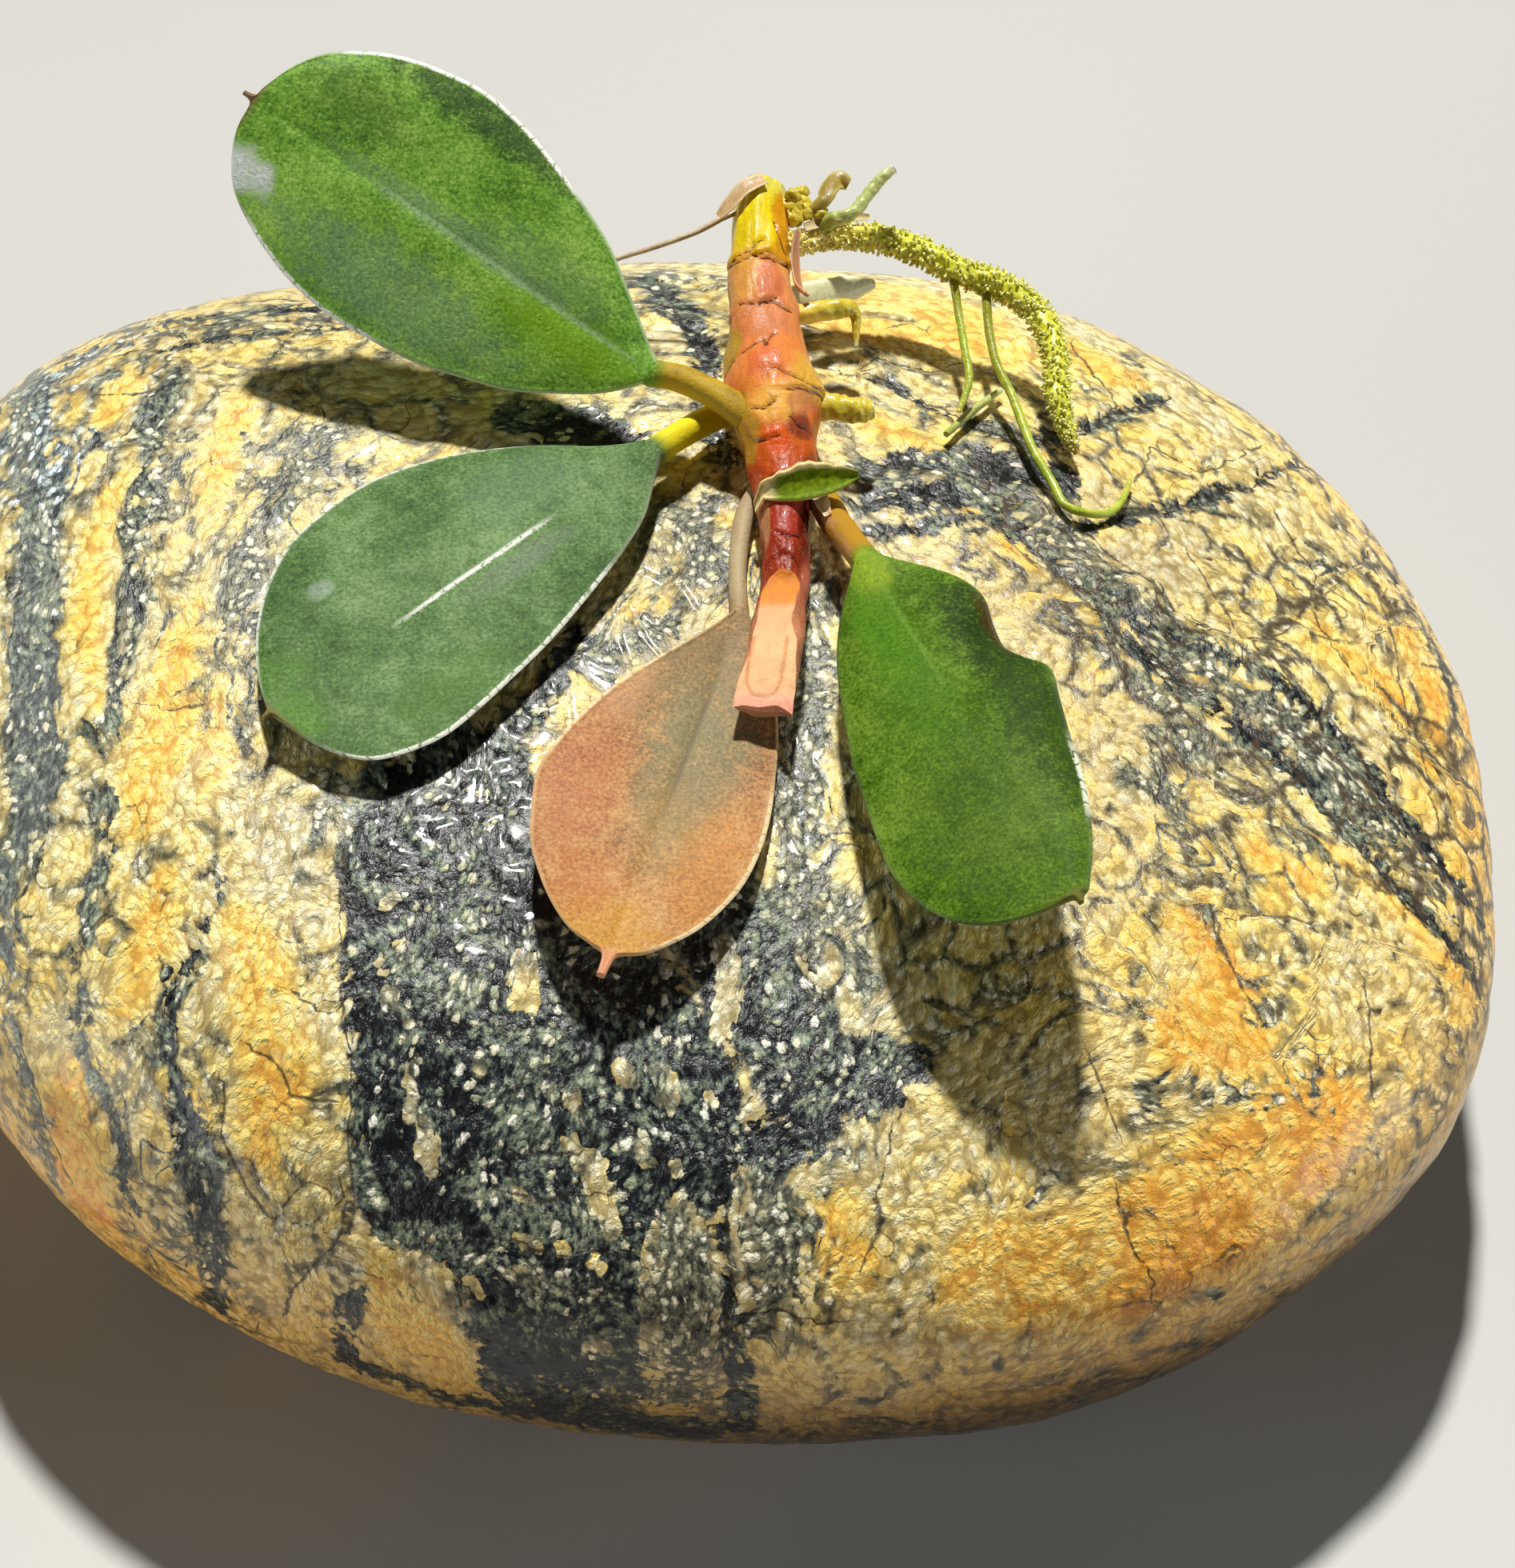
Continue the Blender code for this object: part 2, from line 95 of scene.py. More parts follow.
class Finish:
    # a material: add() makes any node and gives back one of its outputs; colours are screen colours
    def __init__(self, name, fixed):
        self.material = bpy.data.materials.new(name)
        self.material.use_nodes = True
        self.tree = self.material.node_tree
        self.shader = self.tree.nodes["Principled BSDF"]
        for key, value in fixed.items():
            self.shader.inputs[key].default_value = value

    def feed(self, socket, value):
        if isinstance(value, Value):
            self.tree.links.new(value.socket, socket)
        else:
            socket.default_value = linear(value) if socket.type == 'RGBA' else value

    def add(self, kind, settings=None, sockets=None, output=0):
        node = self.tree.nodes.new(kind)
        for key, value in (settings or {}).items():
            if key == "stops":
                ramp = node.color_ramp
                while len(ramp.elements) < len(value):
                    ramp.elements.new(0.5)
                for element, (position, color) in zip(ramp.elements, value):
                    element.position = position
                    element.color = linear(color)
            else:
                setattr(node, key, value)
        for key, value in (sockets or {}).items():
            self.feed(node.inputs[key], value)
        return Value(self, node.outputs[output])

    def other(self, value, output):
        # another output of the node that made a value
        return Value(self, value.socket.node.outputs[output])

    def math(self, operation, *values):
        return self.add("ShaderNodeMath", {"operation": operation}, dict(enumerate(values)))

    def vectorMath(self, operation, *values):
        return self.add("ShaderNodeVectorMath", {"operation": operation}, dict(enumerate(values)))

    def place(self):
        # where the surface is, in millimetres
        return self.scaled(self.add("ShaderNodeTexCoord", output="Object"), (1000.0, 1000.0, 1000.0))

    def marks(self, names):
        # values that the piece's mesh keeps
        return [self.add("ShaderNodeAttribute", {"attribute_name": name}, output="Fac")
                for name in names.split()]

    def scaled(self, where, amounts):
        return self.vectorMath("MULTIPLY", where, amounts)

    def shifted(self, where, shift):
        return self.vectorMath("ADD", where, shift)

    def together(self, x, y, z):
        return self.add("ShaderNodeCombineXYZ", sockets={0: x, 1: y, 2: z})

    def parts(self, vector):
        x = self.add("ShaderNodeSeparateXYZ", sockets={0: vector})
        return x, self.other(x, 1), self.other(x, 2)

    def clouds(self, where, scale, detail=2.0, roughness=0.5, output="Fac"):
        return self.add("ShaderNodeTexNoise", None, {
            "Vector": where, "Scale": scale, "Detail": detail, "Roughness": roughness}, output)

    def cells(self, where, scale, feature="F1"):
        return self.add("ShaderNodeTexVoronoi", {"feature": feature},
                        {"Vector": where, "Scale": scale}, "Distance")

    def ramp(self, value, stops):
        return self.add("ShaderNodeValToRGB", {"stops": stops}, {0: value})

    def rise(self, value, low, high):
        # 0 below low, 1 above high, smooth between
        return self.add("ShaderNodeMapRange", {"interpolation_type": "SMOOTHSTEP"},
                        {"Value": value, "From Min": low, "From Max": high})

    def fall(self, value, low, high):
        return 1 - self.rise(value, low, high)

    def blend(self, share, first, second, mode="MIX"):
        return self.add("ShaderNodeMix", {"data_type": "RGBA", "blend_type": mode},
                        {0: share, 6: first, 7: second}, 2)

    def brightened(self, color, amount):
        return self.blend(1.0, color, self.together(amount, amount, amount), "MULTIPLY")

    def tinted(self, share, color, amounts):
        return self.blend(share, color, self.scaled(color, amounts))

    def patches(self, rows, down, across, ragged, low, high):
        # the share and color of each patch: where along and across, half length and width, color, strength
        for where, side, halfLength, halfWidth, color, strength in rows:
            reach = ((down - where) / halfLength) ** 2 + ((across - side) / halfWidth) ** 2 + ragged
            yield self.fall(reach, low, high) * strength, color

    def show(self, color, roughness, bump=0.0, depth=0.0):
        # the bump's height, 0 to 1, stands for depth in millimetres
        self.feed(self.shader.inputs["Base Color"], color)
        self.feed(self.shader.inputs["Roughness"], roughness)
        if depth:
            self.feed(self.shader.inputs["Normal"], self.add(
                "ShaderNodeBump", sockets={"Height": bump, "Distance": depth * mm, "Strength": 1.0}))
        return self.material


# Curves and meshes that several pieces share
def along(points, t):
    # the point at t, 0 to 1, on the smooth curve through the points
    steps = len(points) - 1
    k = min(int(t * steps), steps - 1)
    a, b, c, d = (Vector(points[min(max(k + i, 0), steps)]) for i in (-1, 0, 1, 2))
    t = t * steps - k
    return 0.5 * (2 * b + (c - a) * t + (2 * a - 5 * b + 4 * c - d) * t ** 2
                  + (3 * b - a - 3 * c + d) * t ** 3)


def frameAt(points, t, faces):
    # place, radius, sideways and outward directions of a section at t
    here = along(points, t)
    ahead = along(points, min(t + 0.01, 1.0)) - along(points, max(t - 0.01, 0.0))
    forward = ahead.to_3d().normalized()
    across = forward.cross(faces).normalized()
    return here.to_3d(), here[3], across, across.cross(forward)


def bell(value, middle, width):
    return math.exp(-((value - middle) / width) ** 2)


def smooth(value, low, high):
    share = min(max((value - low) / (high - low), 0.0), 1.0)
    return share * share * (3 - 2 * share)


def signedPower(value, power):
    return math.copysign(abs(value) ** power, value)


def lineGap(spot, line):
    # distance in a plane from a spot to a line of points
    best = 9.0
    for first, second in zip(line, line[1:]):
        start, run = Vector(first), Vector(second) - Vector(first)
        share = min(max((spot - start).dot(run) / run.dot(run), 0.0), 1.0)
        best = min(best, (spot - start - run * share).length)
    return best


def camel(node):
    first, *rest = node.split("_")
    return first + "".join(word.title() for word in rest)


def rolledTube(rows, sides, place):
    # a grid rolled up by place(share along, angle), which also gives the values of the mesh's marks
    bm = bmesh.new()
    layers = {mark: bm.verts.layers.float.new(mark) for mark in place(0.0, 0.0)[1]}
    bmesh.ops.create_grid(bm, x_segments=rows - 1, y_segments=sides, size=0.5)
    for vert in bm.verts:
        row = round((vert.co.x + 0.5) * (rows - 1))
        side = round((vert.co.y + 0.5) * sides) % sides
        vert.co, values = place(row / (rows - 1), 2 * math.pi * (side / sides))
        for mark, value in values.items():
            vert[layers[mark]] = value
    bmesh.ops.remove_doubles(bm, verts=bm.verts, dist=1e-5)
    bmesh.ops.holes_fill(bm, edges=[edge for edge in bm.edges if edge.is_boundary], sides=0)
    return bm


def meshOf(name, bm):
    mesh = bpy.data.meshes.new(name)
    bm.to_mesh(mesh)
    bm.free()
    return mesh


def placed(name, data, spot=(0, 0, 0), turn=(0, 0, 0)):
    holder = bpy.data.objects.new(name, data)
    holder.location, holder.rotation_euler = spot, turn
    bpy.context.scene.collection.objects.link(holder)
    return holder


def finishPiece(name, bm, material, slot, *nodes, sharp=60):
    # from plant millimetres to the frame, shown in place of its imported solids
    bmesh.ops.recalc_face_normals(bm, faces=bm.faces)
    bmesh.ops.translate(bm, verts=bm.verts, vec=plantPlace)
    bmesh.ops.scale(bm, verts=bm.verts, vec=(mm, mm, mm))
    mesh = meshOf(name, bm)
    mesh.shade_smooth()
    mesh.set_sharp_from_angle(angle=math.radians(sharp))
    mesh.materials.append(material)
    piece = placed(name, mesh)
    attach(piece, "root")
    if nodes:
        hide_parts(*nodes)
    print(name, "made with", len(mesh.polygons), "faces")
    return piece


# The camera stands where the photograph was taken from, so its pixels can be found on the stone
photo = {
    "height": 1960, "focal": 6000,        # in pixels
    "axis": (947, 1010),                  # pixel that the lens points at
    "place": (5.089, -192.845, 247.81),
    "tilt": math.radians(40),             # up from looking straight down
    "sensor": 36,
}


def makeCamera():
    camera = bpy.data.cameras.new("camera")
    camera.sensor_fit = 'VERTICAL'
    camera.sensor_height = photo["sensor"]
    camera.lens = photo["sensor"] * photo["focal"] / photo["height"]
    camera.shift_y = (photo["axis"][1] - photo["height"] / 2) / photo["height"]
    camera.clip_start = 0.01
    bpy.context.scene.camera = placed("camera", camera, Vector(photo["place"]) * mm, (photo["tilt"], 0, 0))


def ontoStone(tree, x, y):
    # where a pixel of the photograph lies on the stone
    right = (x - photo["axis"][0]) / photo["focal"]
    up = (photo["axis"][1] - y) / photo["focal"]
    sine, cosine = math.sin(photo["tilt"]), math.cos(photo["tilt"])
    ray = Vector((right, up * cosine + sine, up * sine - cosine))
    found = tree.ray_cast(Vector(photo["place"]), ray.normalized())[0]
    return None if found is None else np.array(found)


# Stone
stoneLook = {
    "rounding": 2, "ball": 7,                 # levels of the rounded solid, and of the ball around it
    "fineAbove": 12.0, "fineFacing": 0.35,    # what is higher and faces the camera gets more faces
    "lumps": ((11.0, 0.30), (4.2, 0.13), (1.7, 0.07)),             # spacing and height
    "grainsPerMm": (0.28, 0.55, 0.5), "grainRelief": 0.10, "jointWide": 0.22,
    "grooveDepth": 0.16, "grooveWide": 0.35, "darkSunk": 0.10,
    "leanCentre": math.radians(25), "leanReach": 16,               # the grains' angles lie around this
    "sway": 0.8, "swaySpacing": 3.6, "paleSway": 0.25, "paleSpacing": 1 / 1.3,
    "crackSway": ((0.55, 2.6), (0.2, 1.0)), "backSway": ((2.2, 13.0), (0.7, 4.0)),
    # bands round the back: how they dip, their size, how sharp they are, and where they begin
    "dip": (0.82, 0.57), "bandSize": (5.2, 44, 40), "bandEdge": 14, "darkFrom": 0.24, "greyFrom": 0.12,
}
strokeLimit = 3.0      # millimetres inside or outside a stroke that still count
# Strokes on the stone: pixels of the photograph, and half width in millimetres
darkStrokes = {
    "leftSide": (
        ((30, 470, 1.2), (34, 560, 1.0), (40, 650, 1.3), (44, 760, 1.8), (48, 870, 2.0), (46, 980, 1.8),
         (34, 1050, 1.2)),
        ((6, 1080, .9), (10, 1200, .8), (16, 1290, .7), (42, 1380, .7), (70, 1480, .8), (112, 1570, .9),
         (160, 1640, 1.0)),
        ((60, 440, .9), (140, 415, .8), (250, 398, .6), (380, 385, .7), (480, 380, .6), (560, 365, .5)),
        ((120, 480, .4), (200, 440, .5), (300, 420, .5), (420, 410, .4), (520, 402, .3))),
    "seams": (
        ((225, 462, .3), (204, 500, .8), (188, 545, .7), (182, 620, .3), (162, 690, .2), (172, 760, .4),
         (156, 840, .25), (140, 900, .15)),
        ((134, 989, .4), (136, 1052, .4), (112, 1110, .4), (92, 1212, .6), (96, 1302, .6),
         (134, 1382, .5), (150, 1440, .5), (165, 1520, .8), (190, 1600, 1.2)),
        ((277, 1101, .3), (250, 1177, .4), (216, 1230, .7), (207, 1302, .7), (224, 1373, .9),
         (245, 1430, 1.4), (255, 1500, 1.3), (262, 1570, 1.3), (270, 1640, 1.0))),
    "zone": (
        ((500, 985, 2.4), (486, 1080, 3.0), (488, 1200, 3.0), (492, 1320, 2.7), (498, 1420, 2.9),
         (500, 1500, 2.7)),
        ((590, 960, 3.6), (610, 1080, 5.0), (620, 1220, 6.0), (640, 1360, 6.6), (655, 1480, 6.6),
         (690, 1600, 5.4), (700, 1720, 5.0), (705, 1800, 5.0)),
        ((740, 1260, 5.0), (800, 1370, 6.0), (800, 1470, 5.0)),
        ((900, 1150, 3.2), (960, 1260, 3.6), (1010, 1350, 3.4), (1090, 1345, 2.5), (1140, 1335, 1.4)),
        ((1030, 1400, 1.6), (940, 1440, 2.2), (880, 1480, 1.8))),
    "front": (
        ((905, 1480, .8), (912, 1600, .9), (916, 1700, 1.1), (926, 1780, 1.4)),
        # the second stroke runs along the bottom edge at the front: painted shade where the stone turns under
        ((440, 1620, .7), (430, 1700, .9), (560, 1770, 1.6), (700, 1790, 2.5), (860, 1790, 2.0))),
    "betweenLeaves": (
        ((640, 520, 1.6), (720, 530, 2.0), (780, 545, 1.6)),
        ((810, 355, 1.2), (850, 390, 1.4), (880, 430, 1.2), (885, 520, .9), (900, 570, 1.0)),
        ((720, 790, .9), (700, 840, 1.0), (650, 900, 1.4))),
    "band": (
        ((1075, 590, 1.0), (1130, 575, 1.2), (1200, 575, 1.8), (1270, 585, 2.0), (1320, 600, 1.6)),
        ((1090, 628, 1.0), (1180, 616, 1.5), (1262, 618, 1.6)),
        ((1080, 665, .5), (1140, 660, .5), (1200, 650, .7), (1256, 652, 1.0)),
        ((1256, 650, 1.0), (1327, 712, 1.1), (1409, 766, 1.1), (1462, 798, 1.0), (1527, 815, .7),
         (1590, 848, .8), (1650, 895, 1.0), (1700, 950, .9), (1752, 1020, .9), (1810, 1090, .8),
         (1860, 1165, .8)),
        ((1362, 740, .7), (1409, 805, 1.0), (1456, 839, 1.1), (1510, 880, .9), (1574, 925, .9),
         (1630, 975, 1.0), (1690, 1040, .9), (1750, 1110, .8), (1810, 1180, .8), (1850, 1240, .7))),
    "veins": (
        ((1034, 462, .35), (1114, 480, .5), (1188, 517, .65), (1228, 536, .9), (1285, 551, 1.0),
         (1330, 550, .75), (1365, 530, .65), (1456, 500, .6), (1510, 480, .5)),
        ((1350, 662, .6), (1399, 650, .6), (1485, 631, .6), (1570, 602, .55), (1625, 578, .45)),
        ((1741, 722, .45), (1798, 825, .55), (1827, 922, .45))),
    "spots": (
        # the second stroke is a painted shadow line beside a crack
        ((1520, 1622, .5), (1536, 1628, .4)), ((1560, 1285, .3), (1530, 1210, .3), (1500, 1140, .4))),
}
greyStrokes = {
    "leftSide": (
        ((215, 480, 1.2), (196, 545, 1.5), (180, 640, 1.6), (164, 700, 1.2), (176, 770, 1.2),
         (158, 840, .8), (136, 900, .6)),
        ((40, 480, 2.2), (44, 560, 2.6), (50, 640, 2.2), (40, 760, 1.4), (44, 880, 1.4), (30, 1000, 1.8),
         (26, 1080, 1.6)),
        ((120, 900, .5), (116, 980, .6), (128, 1050, .5)),
        ((290, 690, 1.5), (350, 700, 1.4), (300, 760, 1.4), (288, 830, 1.0), (312, 900, .9)),
        ((330, 560, 1.6), (420, 540, 1.8), (330, 660, 1.6), (300, 740, 1.5), (330, 800, 1.2),
         (300, 880, 1.0)),
        ((160, 1280, .6), (190, 1440, 1.0), (220, 1560, 1.6), (300, 1620, 1.4))),
    "zone": (
        ((410, 990, .8), (400, 1050, .7), (380, 1100, .6)),
        ((850, 1540, 2.2), (850, 1640, 2.8), (850, 1740, 2.0)),
        ((520, 1120, 1.4), (500, 1230, 1.2), (530, 1380, 1.0), (560, 1450, 1.0)),
        ((590, 1110, 1.6), (600, 1200, 2.0), (620, 1320, 3.0), (670, 1390, 2.2)),
        ((640, 1575, 1.4), (690, 1610, 2.0), (740, 1680, 1.4)),
        # this stroke, where the wet dark zone shines, gives pale grains and painted sheen
        ((560, 940, 2.4), (600, 1010, 2.6), (560, 1080, 1.4)),
        ((930, 1120, 1.8), (980, 1230, 2.2), (1060, 1330, 1.6)),
        ((830, 1290, 1.6), (800, 1400, 1.6), (790, 1480, 1.2))),
    "stem": (
        ((850, 640, 2.2), (900, 700, 2.4), (830, 740, 1.6), (760, 830, 1.2)),
        ((1000, 740, 1.8), (1010, 840, 1.8), (1010, 950, 1.9), (1000, 1060, 2.0), (990, 1160, 2.0),
         (1060, 1130, 1.4), (1080, 1240, 1.3))),
    "band": (
        ((1330, 770, .7), (1422, 850, 1.0), (1513, 950, 1.5), (1599, 1024, 1.1), (1684, 1100, .7)),
        ((1090, 610, 1.6), (1200, 615, 2.2), (1290, 640, 1.8), (1399, 745, 1.4), (1480, 815, 1.8),
         (1560, 868, 2.0), (1620, 915, 2.0), (1690, 990, 2.0), (1760, 1070, 1.8), (1850, 1190, 1.4))),
    "rightSide": (
        ((1400, 960, 1.0), (1460, 1000, 1.6), (1500, 1080, 1.2)),
        ((1516, 1145, .5), (1557, 1206, .6), (1580, 1257, .7), (1623, 1323, .7), (1659, 1410, .6)),
        ((1290, 1500, .8), (1335, 1470, .8), (1378, 1425, .6), (1440, 1385, .5), (1516, 1374, .4),
         (1608, 1369, .4)),
        ((1414, 1500, .6), (1486, 1441, .4), (1526, 1395, .3)),
        ((960, 1480, 1.3), (980, 1560, 1.6), (960, 1640, 1.2), (1050, 1440, 1.2)),
        ((1600, 740, .5), (1660, 700, .4), (1720, 690, .4))),
    "top": (
        ((30, 500, 1.0), (80, 560, 1.4), (60, 640, 1.2)), ((840, 345, 1.5), (760, 350, 1.0)),
        ((340, 605, 1.5), (420, 590, 1.5), (490, 570, 1.0)),
        ((60, 480, 1.2), (120, 440, 1.3), (200, 420, 1.2), (300, 405, 1.1), (400, 395, 1.0),
         (520, 385, .9))),
}
orangeStrokes = {
    "lenses": (
        ((130, 530, .9), (160, 490, 1.4), (195, 465, 1.0)),
        ((140, 600, .8), (122, 680, 1.2), (106, 760, 1.2), (118, 840, 1.0), (130, 900, .6)),
        ((300, 500, 1.2), (280, 560, 1.6), (255, 625, .9)),
        ((240, 760, 1.0), (215, 860, 1.5), (190, 960, 2.2), (175, 1030, 1.4)),
        ((200, 1100, 1.2), (190, 1180, 1.6), (150, 1260, 1.3)),
        ((86, 1340, 1.3), (92, 1430, 2.4), (104, 1500, 2.8), (120, 1570, 1.8)),
        ((262, 880, 1.0), (270, 930, 1.3), (264, 980, 1.0))),
    "zone": (
        ((300, 1150, 1.6), (330, 1250, 2.6), (350, 1340, 2.4), (330, 1430, 1.8)),
        ((470, 1580, 1.2), (510, 1650, 2.4), (560, 1710, 2.2)), ((800, 770, 1.3), (830, 760, .9))),
    "rightSide": (
        ((1040, 1520, 2.0), (1060, 1580, 1.8)),
        ((1250, 1600, 3.6), (1400, 1580, 4.0), (1540, 1500, 4.5), (1650, 1400, 3.5)),
        ((1490, 1150, 1.4), (1540, 1230, 2.4), (1480, 1300, 2.4), (1560, 1310, 2.0)),
        ((1660, 1060, .8), (1720, 1110, 1.0), (1790, 1180, 1.2), (1840, 1240, 1.0)),
        ((1750, 800, 1.0), (1790, 860, 1.5), (1800, 920, 1.0)), ((1590, 1080, 1.3), (1620, 1100, 1.3)),
        ((1670, 800, 1.4), (1720, 850, 1.8), (1750, 880, 1.4))),
    "top": (
        ((1040, 408, 1.8), (1160, 425, 2.2), (1260, 440, 1.8)),
        ((1010, 345, 2.2), (1120, 370, 2.8), (1230, 405, 2.4)), ((1080, 518, .8), (1160, 558, .8)),
        ((1330, 430, 1.8), (1400, 470, 2.0))),
}
# pale grains and islands that stand out in the dark parts
paleStrokes = {
    "streaks": (
        ((712, 1428, .5), (742, 1465, .75), (758, 1515, .7), (768, 1548, .35)),
        ((826, 1340, .6), (836, 1375, .7)), ((654, 1200, .7), (656, 1248, .9)),
        ((530, 1400, .35), (534, 1440, .6), (538, 1468, .35)),
        ((516, 1330, .3), (512, 1365, .3), (514, 1400, .25))),
    "grains": (
        ((500, 1182, .4), (505, 1192, .4)), ((484, 1243, .4), (489, 1252, .4)),
        ((474, 1205, .35), (478, 1215, .3)), ((506, 1262, .25), (510, 1280, .3)),
        ((480, 1128, .45), (492, 1118, .3)), ((716, 1368, .4), (722, 1392, .35)),
        ((690, 1358, .3), (693, 1366, .3)), ((600, 1326, .3), (604, 1334, .3)),
        ((652, 1548, .5), (668, 1556, .5)), ((634, 1592, .5), (664, 1598, .55)),
        ((742, 1578, .4), (752, 1588, .3)), ((700, 1562, .35), (706, 1568, .3)),
        ((648, 1492, .3), (660, 1500, .3)), ((742, 1680, .5), (760, 1690, .35)),
        ((590, 1602, .4), (600, 1618, .3)), ((800, 1436, .5), (806, 1450, .4)),
        ((842, 1456, .35), (846, 1462, .3)), ((776, 1336, .5), (786, 1350, .6)),
        ((888, 1368, .3), (892, 1376, .3))),
    "islands": (
        ((850, 1512, .8), (846, 1560, 1.9), (850, 1620, 2.3), (846, 1680, 1.8), (880, 1730, 1.4)),
        ((940, 1478, 1.0), (950, 1540, 1.6), (942, 1600, 1.2)),
        ((905, 1180, .6), (912, 1240, .8), (900, 1290, .5)), ((440, 1575, .9), (436, 1600, .8))),
}
crackStrokes = {
    "zone": (
        ((424, 1070), (424, 1168), (429, 1266), (435, 1324), (440, 1369), (431, 1413), (442, 1503),
         (438, 1547)),
        ((312, 1315), (344, 1338), (366, 1373), (429, 1373)), ((366, 1244), (393, 1262), (429, 1268)),
        ((277, 1355), (277, 1422), (312, 1494), (344, 1525), (393, 1476), (411, 1494)),
        ((438, 1458), (429, 1547), (393, 1588), (350, 1640))),
    "lens": (
        ((180, 880), (215, 885), (257, 876)), ((130, 490), (160, 494), (185, 490))),
    "grooves": (
        ((640, 1440), (690, 1448), (720, 1440)), ((640, 1490), (700, 1500), (760, 1495)),
        ((650, 1555), (700, 1570), (755, 1560)), ((655, 1430), (690, 1400), (705, 1370))),
    "veins": (
        ((1034, 460), (1114, 478), (1188, 514), (1240, 540), (1290, 550)),
        ((1290, 550), (1365, 528), (1456, 500), (1510, 478)),
        ((1399, 648), (1485, 631), (1570, 602), (1625, 578))),
    "boxes": (
        ((1500, 780), (1540, 800), (1590, 795), (1640, 760), (1710, 690)),
        ((1480, 690), (1530, 756), (1560, 830)), ((1600, 640), (1640, 700), (1650, 780), (1700, 850)),
        ((1420, 600), (1440, 560), (1500, 590), (1580, 560)),
        ((1700, 700), (1740, 780), (1750, 860), (1790, 960), (1800, 1040)),
        ((1340, 430), (1380, 480), (1400, 520))),
    "bandWalls": (
        ((1330, 640), (1399, 700), (1467, 760), (1560, 800), (1640, 870), (1700, 940), (1745, 1010)),
        ((1256, 670), (1330, 730), (1420, 800), (1500, 870), (1600, 940), (1680, 1040), (1760, 1120))),
    "rightSide": (
        ((1516, 1140), (1540, 1190), (1560, 1240), (1575, 1270)),
        ((1395, 1410), (1380, 1370), (1360, 1320)), ((1700, 1230), (1715, 1300), (1718, 1370)),
        ((1545, 1148), (1600, 1145), (1640, 1150))),
    "front": (
        ((1110, 1420), (1100, 1500), (1085, 1580)), ((1400, 1500), (1420, 1560), (1440, 1620)),
        ((905, 1490), (915, 1580), (910, 1660), (925, 1760)), ((925, 1650), (980, 1640), (1040, 1648))),
    "rim": (
        ((820, 352), (850, 400), (900, 440)), ((150, 425), (260, 405), (360, 398), (470, 400)),
        ((300, 378), (400, 372), (520, 362)), ((1060, 470), (1100, 450), (1160, 462), (1200, 452)),
        ((20, 1290), (50, 1380), (80, 1470), (125, 1560), (180, 1640))),
}
# The way that the grains lie: from one pixel to another
grainArrows = {
    "leftSide": (
        ((40, 1100), (45, 800)), ((130, 1000), (120, 750)), ((50, 650), (70, 500)),
        ((120, 560), (190, 440)), ((250, 420), (400, 388)), ((450, 374), (600, 362)),
        ((225, 720), (240, 560)), ((230, 1000), (220, 850)), ((270, 1300), (240, 1150)),
        ((100, 1520), (80, 1350)), ((370, 1400), (390, 1200))),
    "middle": (
        ((480, 1400), (480, 1150)), ((600, 1300), (600, 1100)), ((620, 1650), (620, 1500)),
        ((800, 1720), (790, 1600)), ((760, 1300), (770, 1150)), ((480, 560), (600, 520)),
        ((330, 800), (360, 650)), ((840, 380), (900, 365)), ((860, 740), (900, 650)),
        ((1000, 900), (1000, 780)), ((1010, 1150), (1000, 1000))),
    "rightSide": (
        ((1060, 400), (1200, 400)), ((1080, 500), (1200, 520)), ((1100, 590), (1250, 650)),
        ((1280, 660), (1400, 750)), ((1460, 790), (1580, 860)), ((1660, 910), (1730, 1010)),
        ((1790, 1090), (1850, 1180)), ((1400, 480), (1540, 560)), ((1600, 600), (1720, 740)),
        ((1760, 800), (1820, 960)), ((1300, 780), (1420, 900)), ((1480, 940), (1600, 1040)),
        ((1550, 1200), (1620, 1320)), ((1400, 1450), (1500, 1400)), ((1100, 1560), (1120, 1440)),
        ((1300, 1650), (1400, 1600)), ((1600, 1560), (1680, 1480)), ((1750, 1400), (1790, 1280))),
}


def roundedSolid(node, levels):
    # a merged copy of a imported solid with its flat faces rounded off, to cast rays at
    bm = bmesh.new()
    bm.from_mesh(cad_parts[node].data)
    bmesh.ops.remove_doubles(bm, verts=bm.verts, dist=1e-6)
    bmesh.ops.join_triangles(bm, faces=bm.faces, angle_face_threshold=0.5, angle_shape_threshold=0.7)
    holder = placed(node + "Copy", meshOf(node + "Copy", bm))
    rounding = holder.modifiers.new("rounding", 'SUBSURF')
    rounding.levels = rounding.render_levels = levels
    mesh = bpy.data.meshes.new_from_object(holder.evaluated_get(bpy.context.evaluated_depsgraph_get()))
    bpy.data.objects.remove(holder)
    return BVHTree.FromPolygons([vert.co / mm for vert in mesh.vertices],
                                [face.vertices for face in mesh.polygons])


def stretches(tree, groups):
    # the straight stretches of all the strokes, on the stone, each as its two ends
    for group in groups.values():
        for stroke in group:
            steps = [(ontoStone(tree, x, y), *width) for x, y, *width in stroke]
            steps = [step for step in steps if step[0] is not None]
            yield from zip(steps, steps[1:])


def gapTo(spots, start, end):
    # distance from each spot to a stretch, and the share along it
    run = end - start
    share = np.clip((spots - start) @ run / (run @ run), 0, 1)
    return np.linalg.norm(spots - start - share[:, None] * run, axis=1), share


def strokeReach(spots, tree, groups):
    # how far inside the nearest stroke each spot is, in millimetres, below 0 outside
    best = np.full(len(spots), -strokeLimit)
    for (start, startWidth), (end, endWidth) in stretches(tree, groups):
        gap, share = gapTo(spots, start, end)
        best = np.maximum(best, startWidth + share * (endWidth - startWidth) - gap)
    return np.minimum(best, strokeLimit)


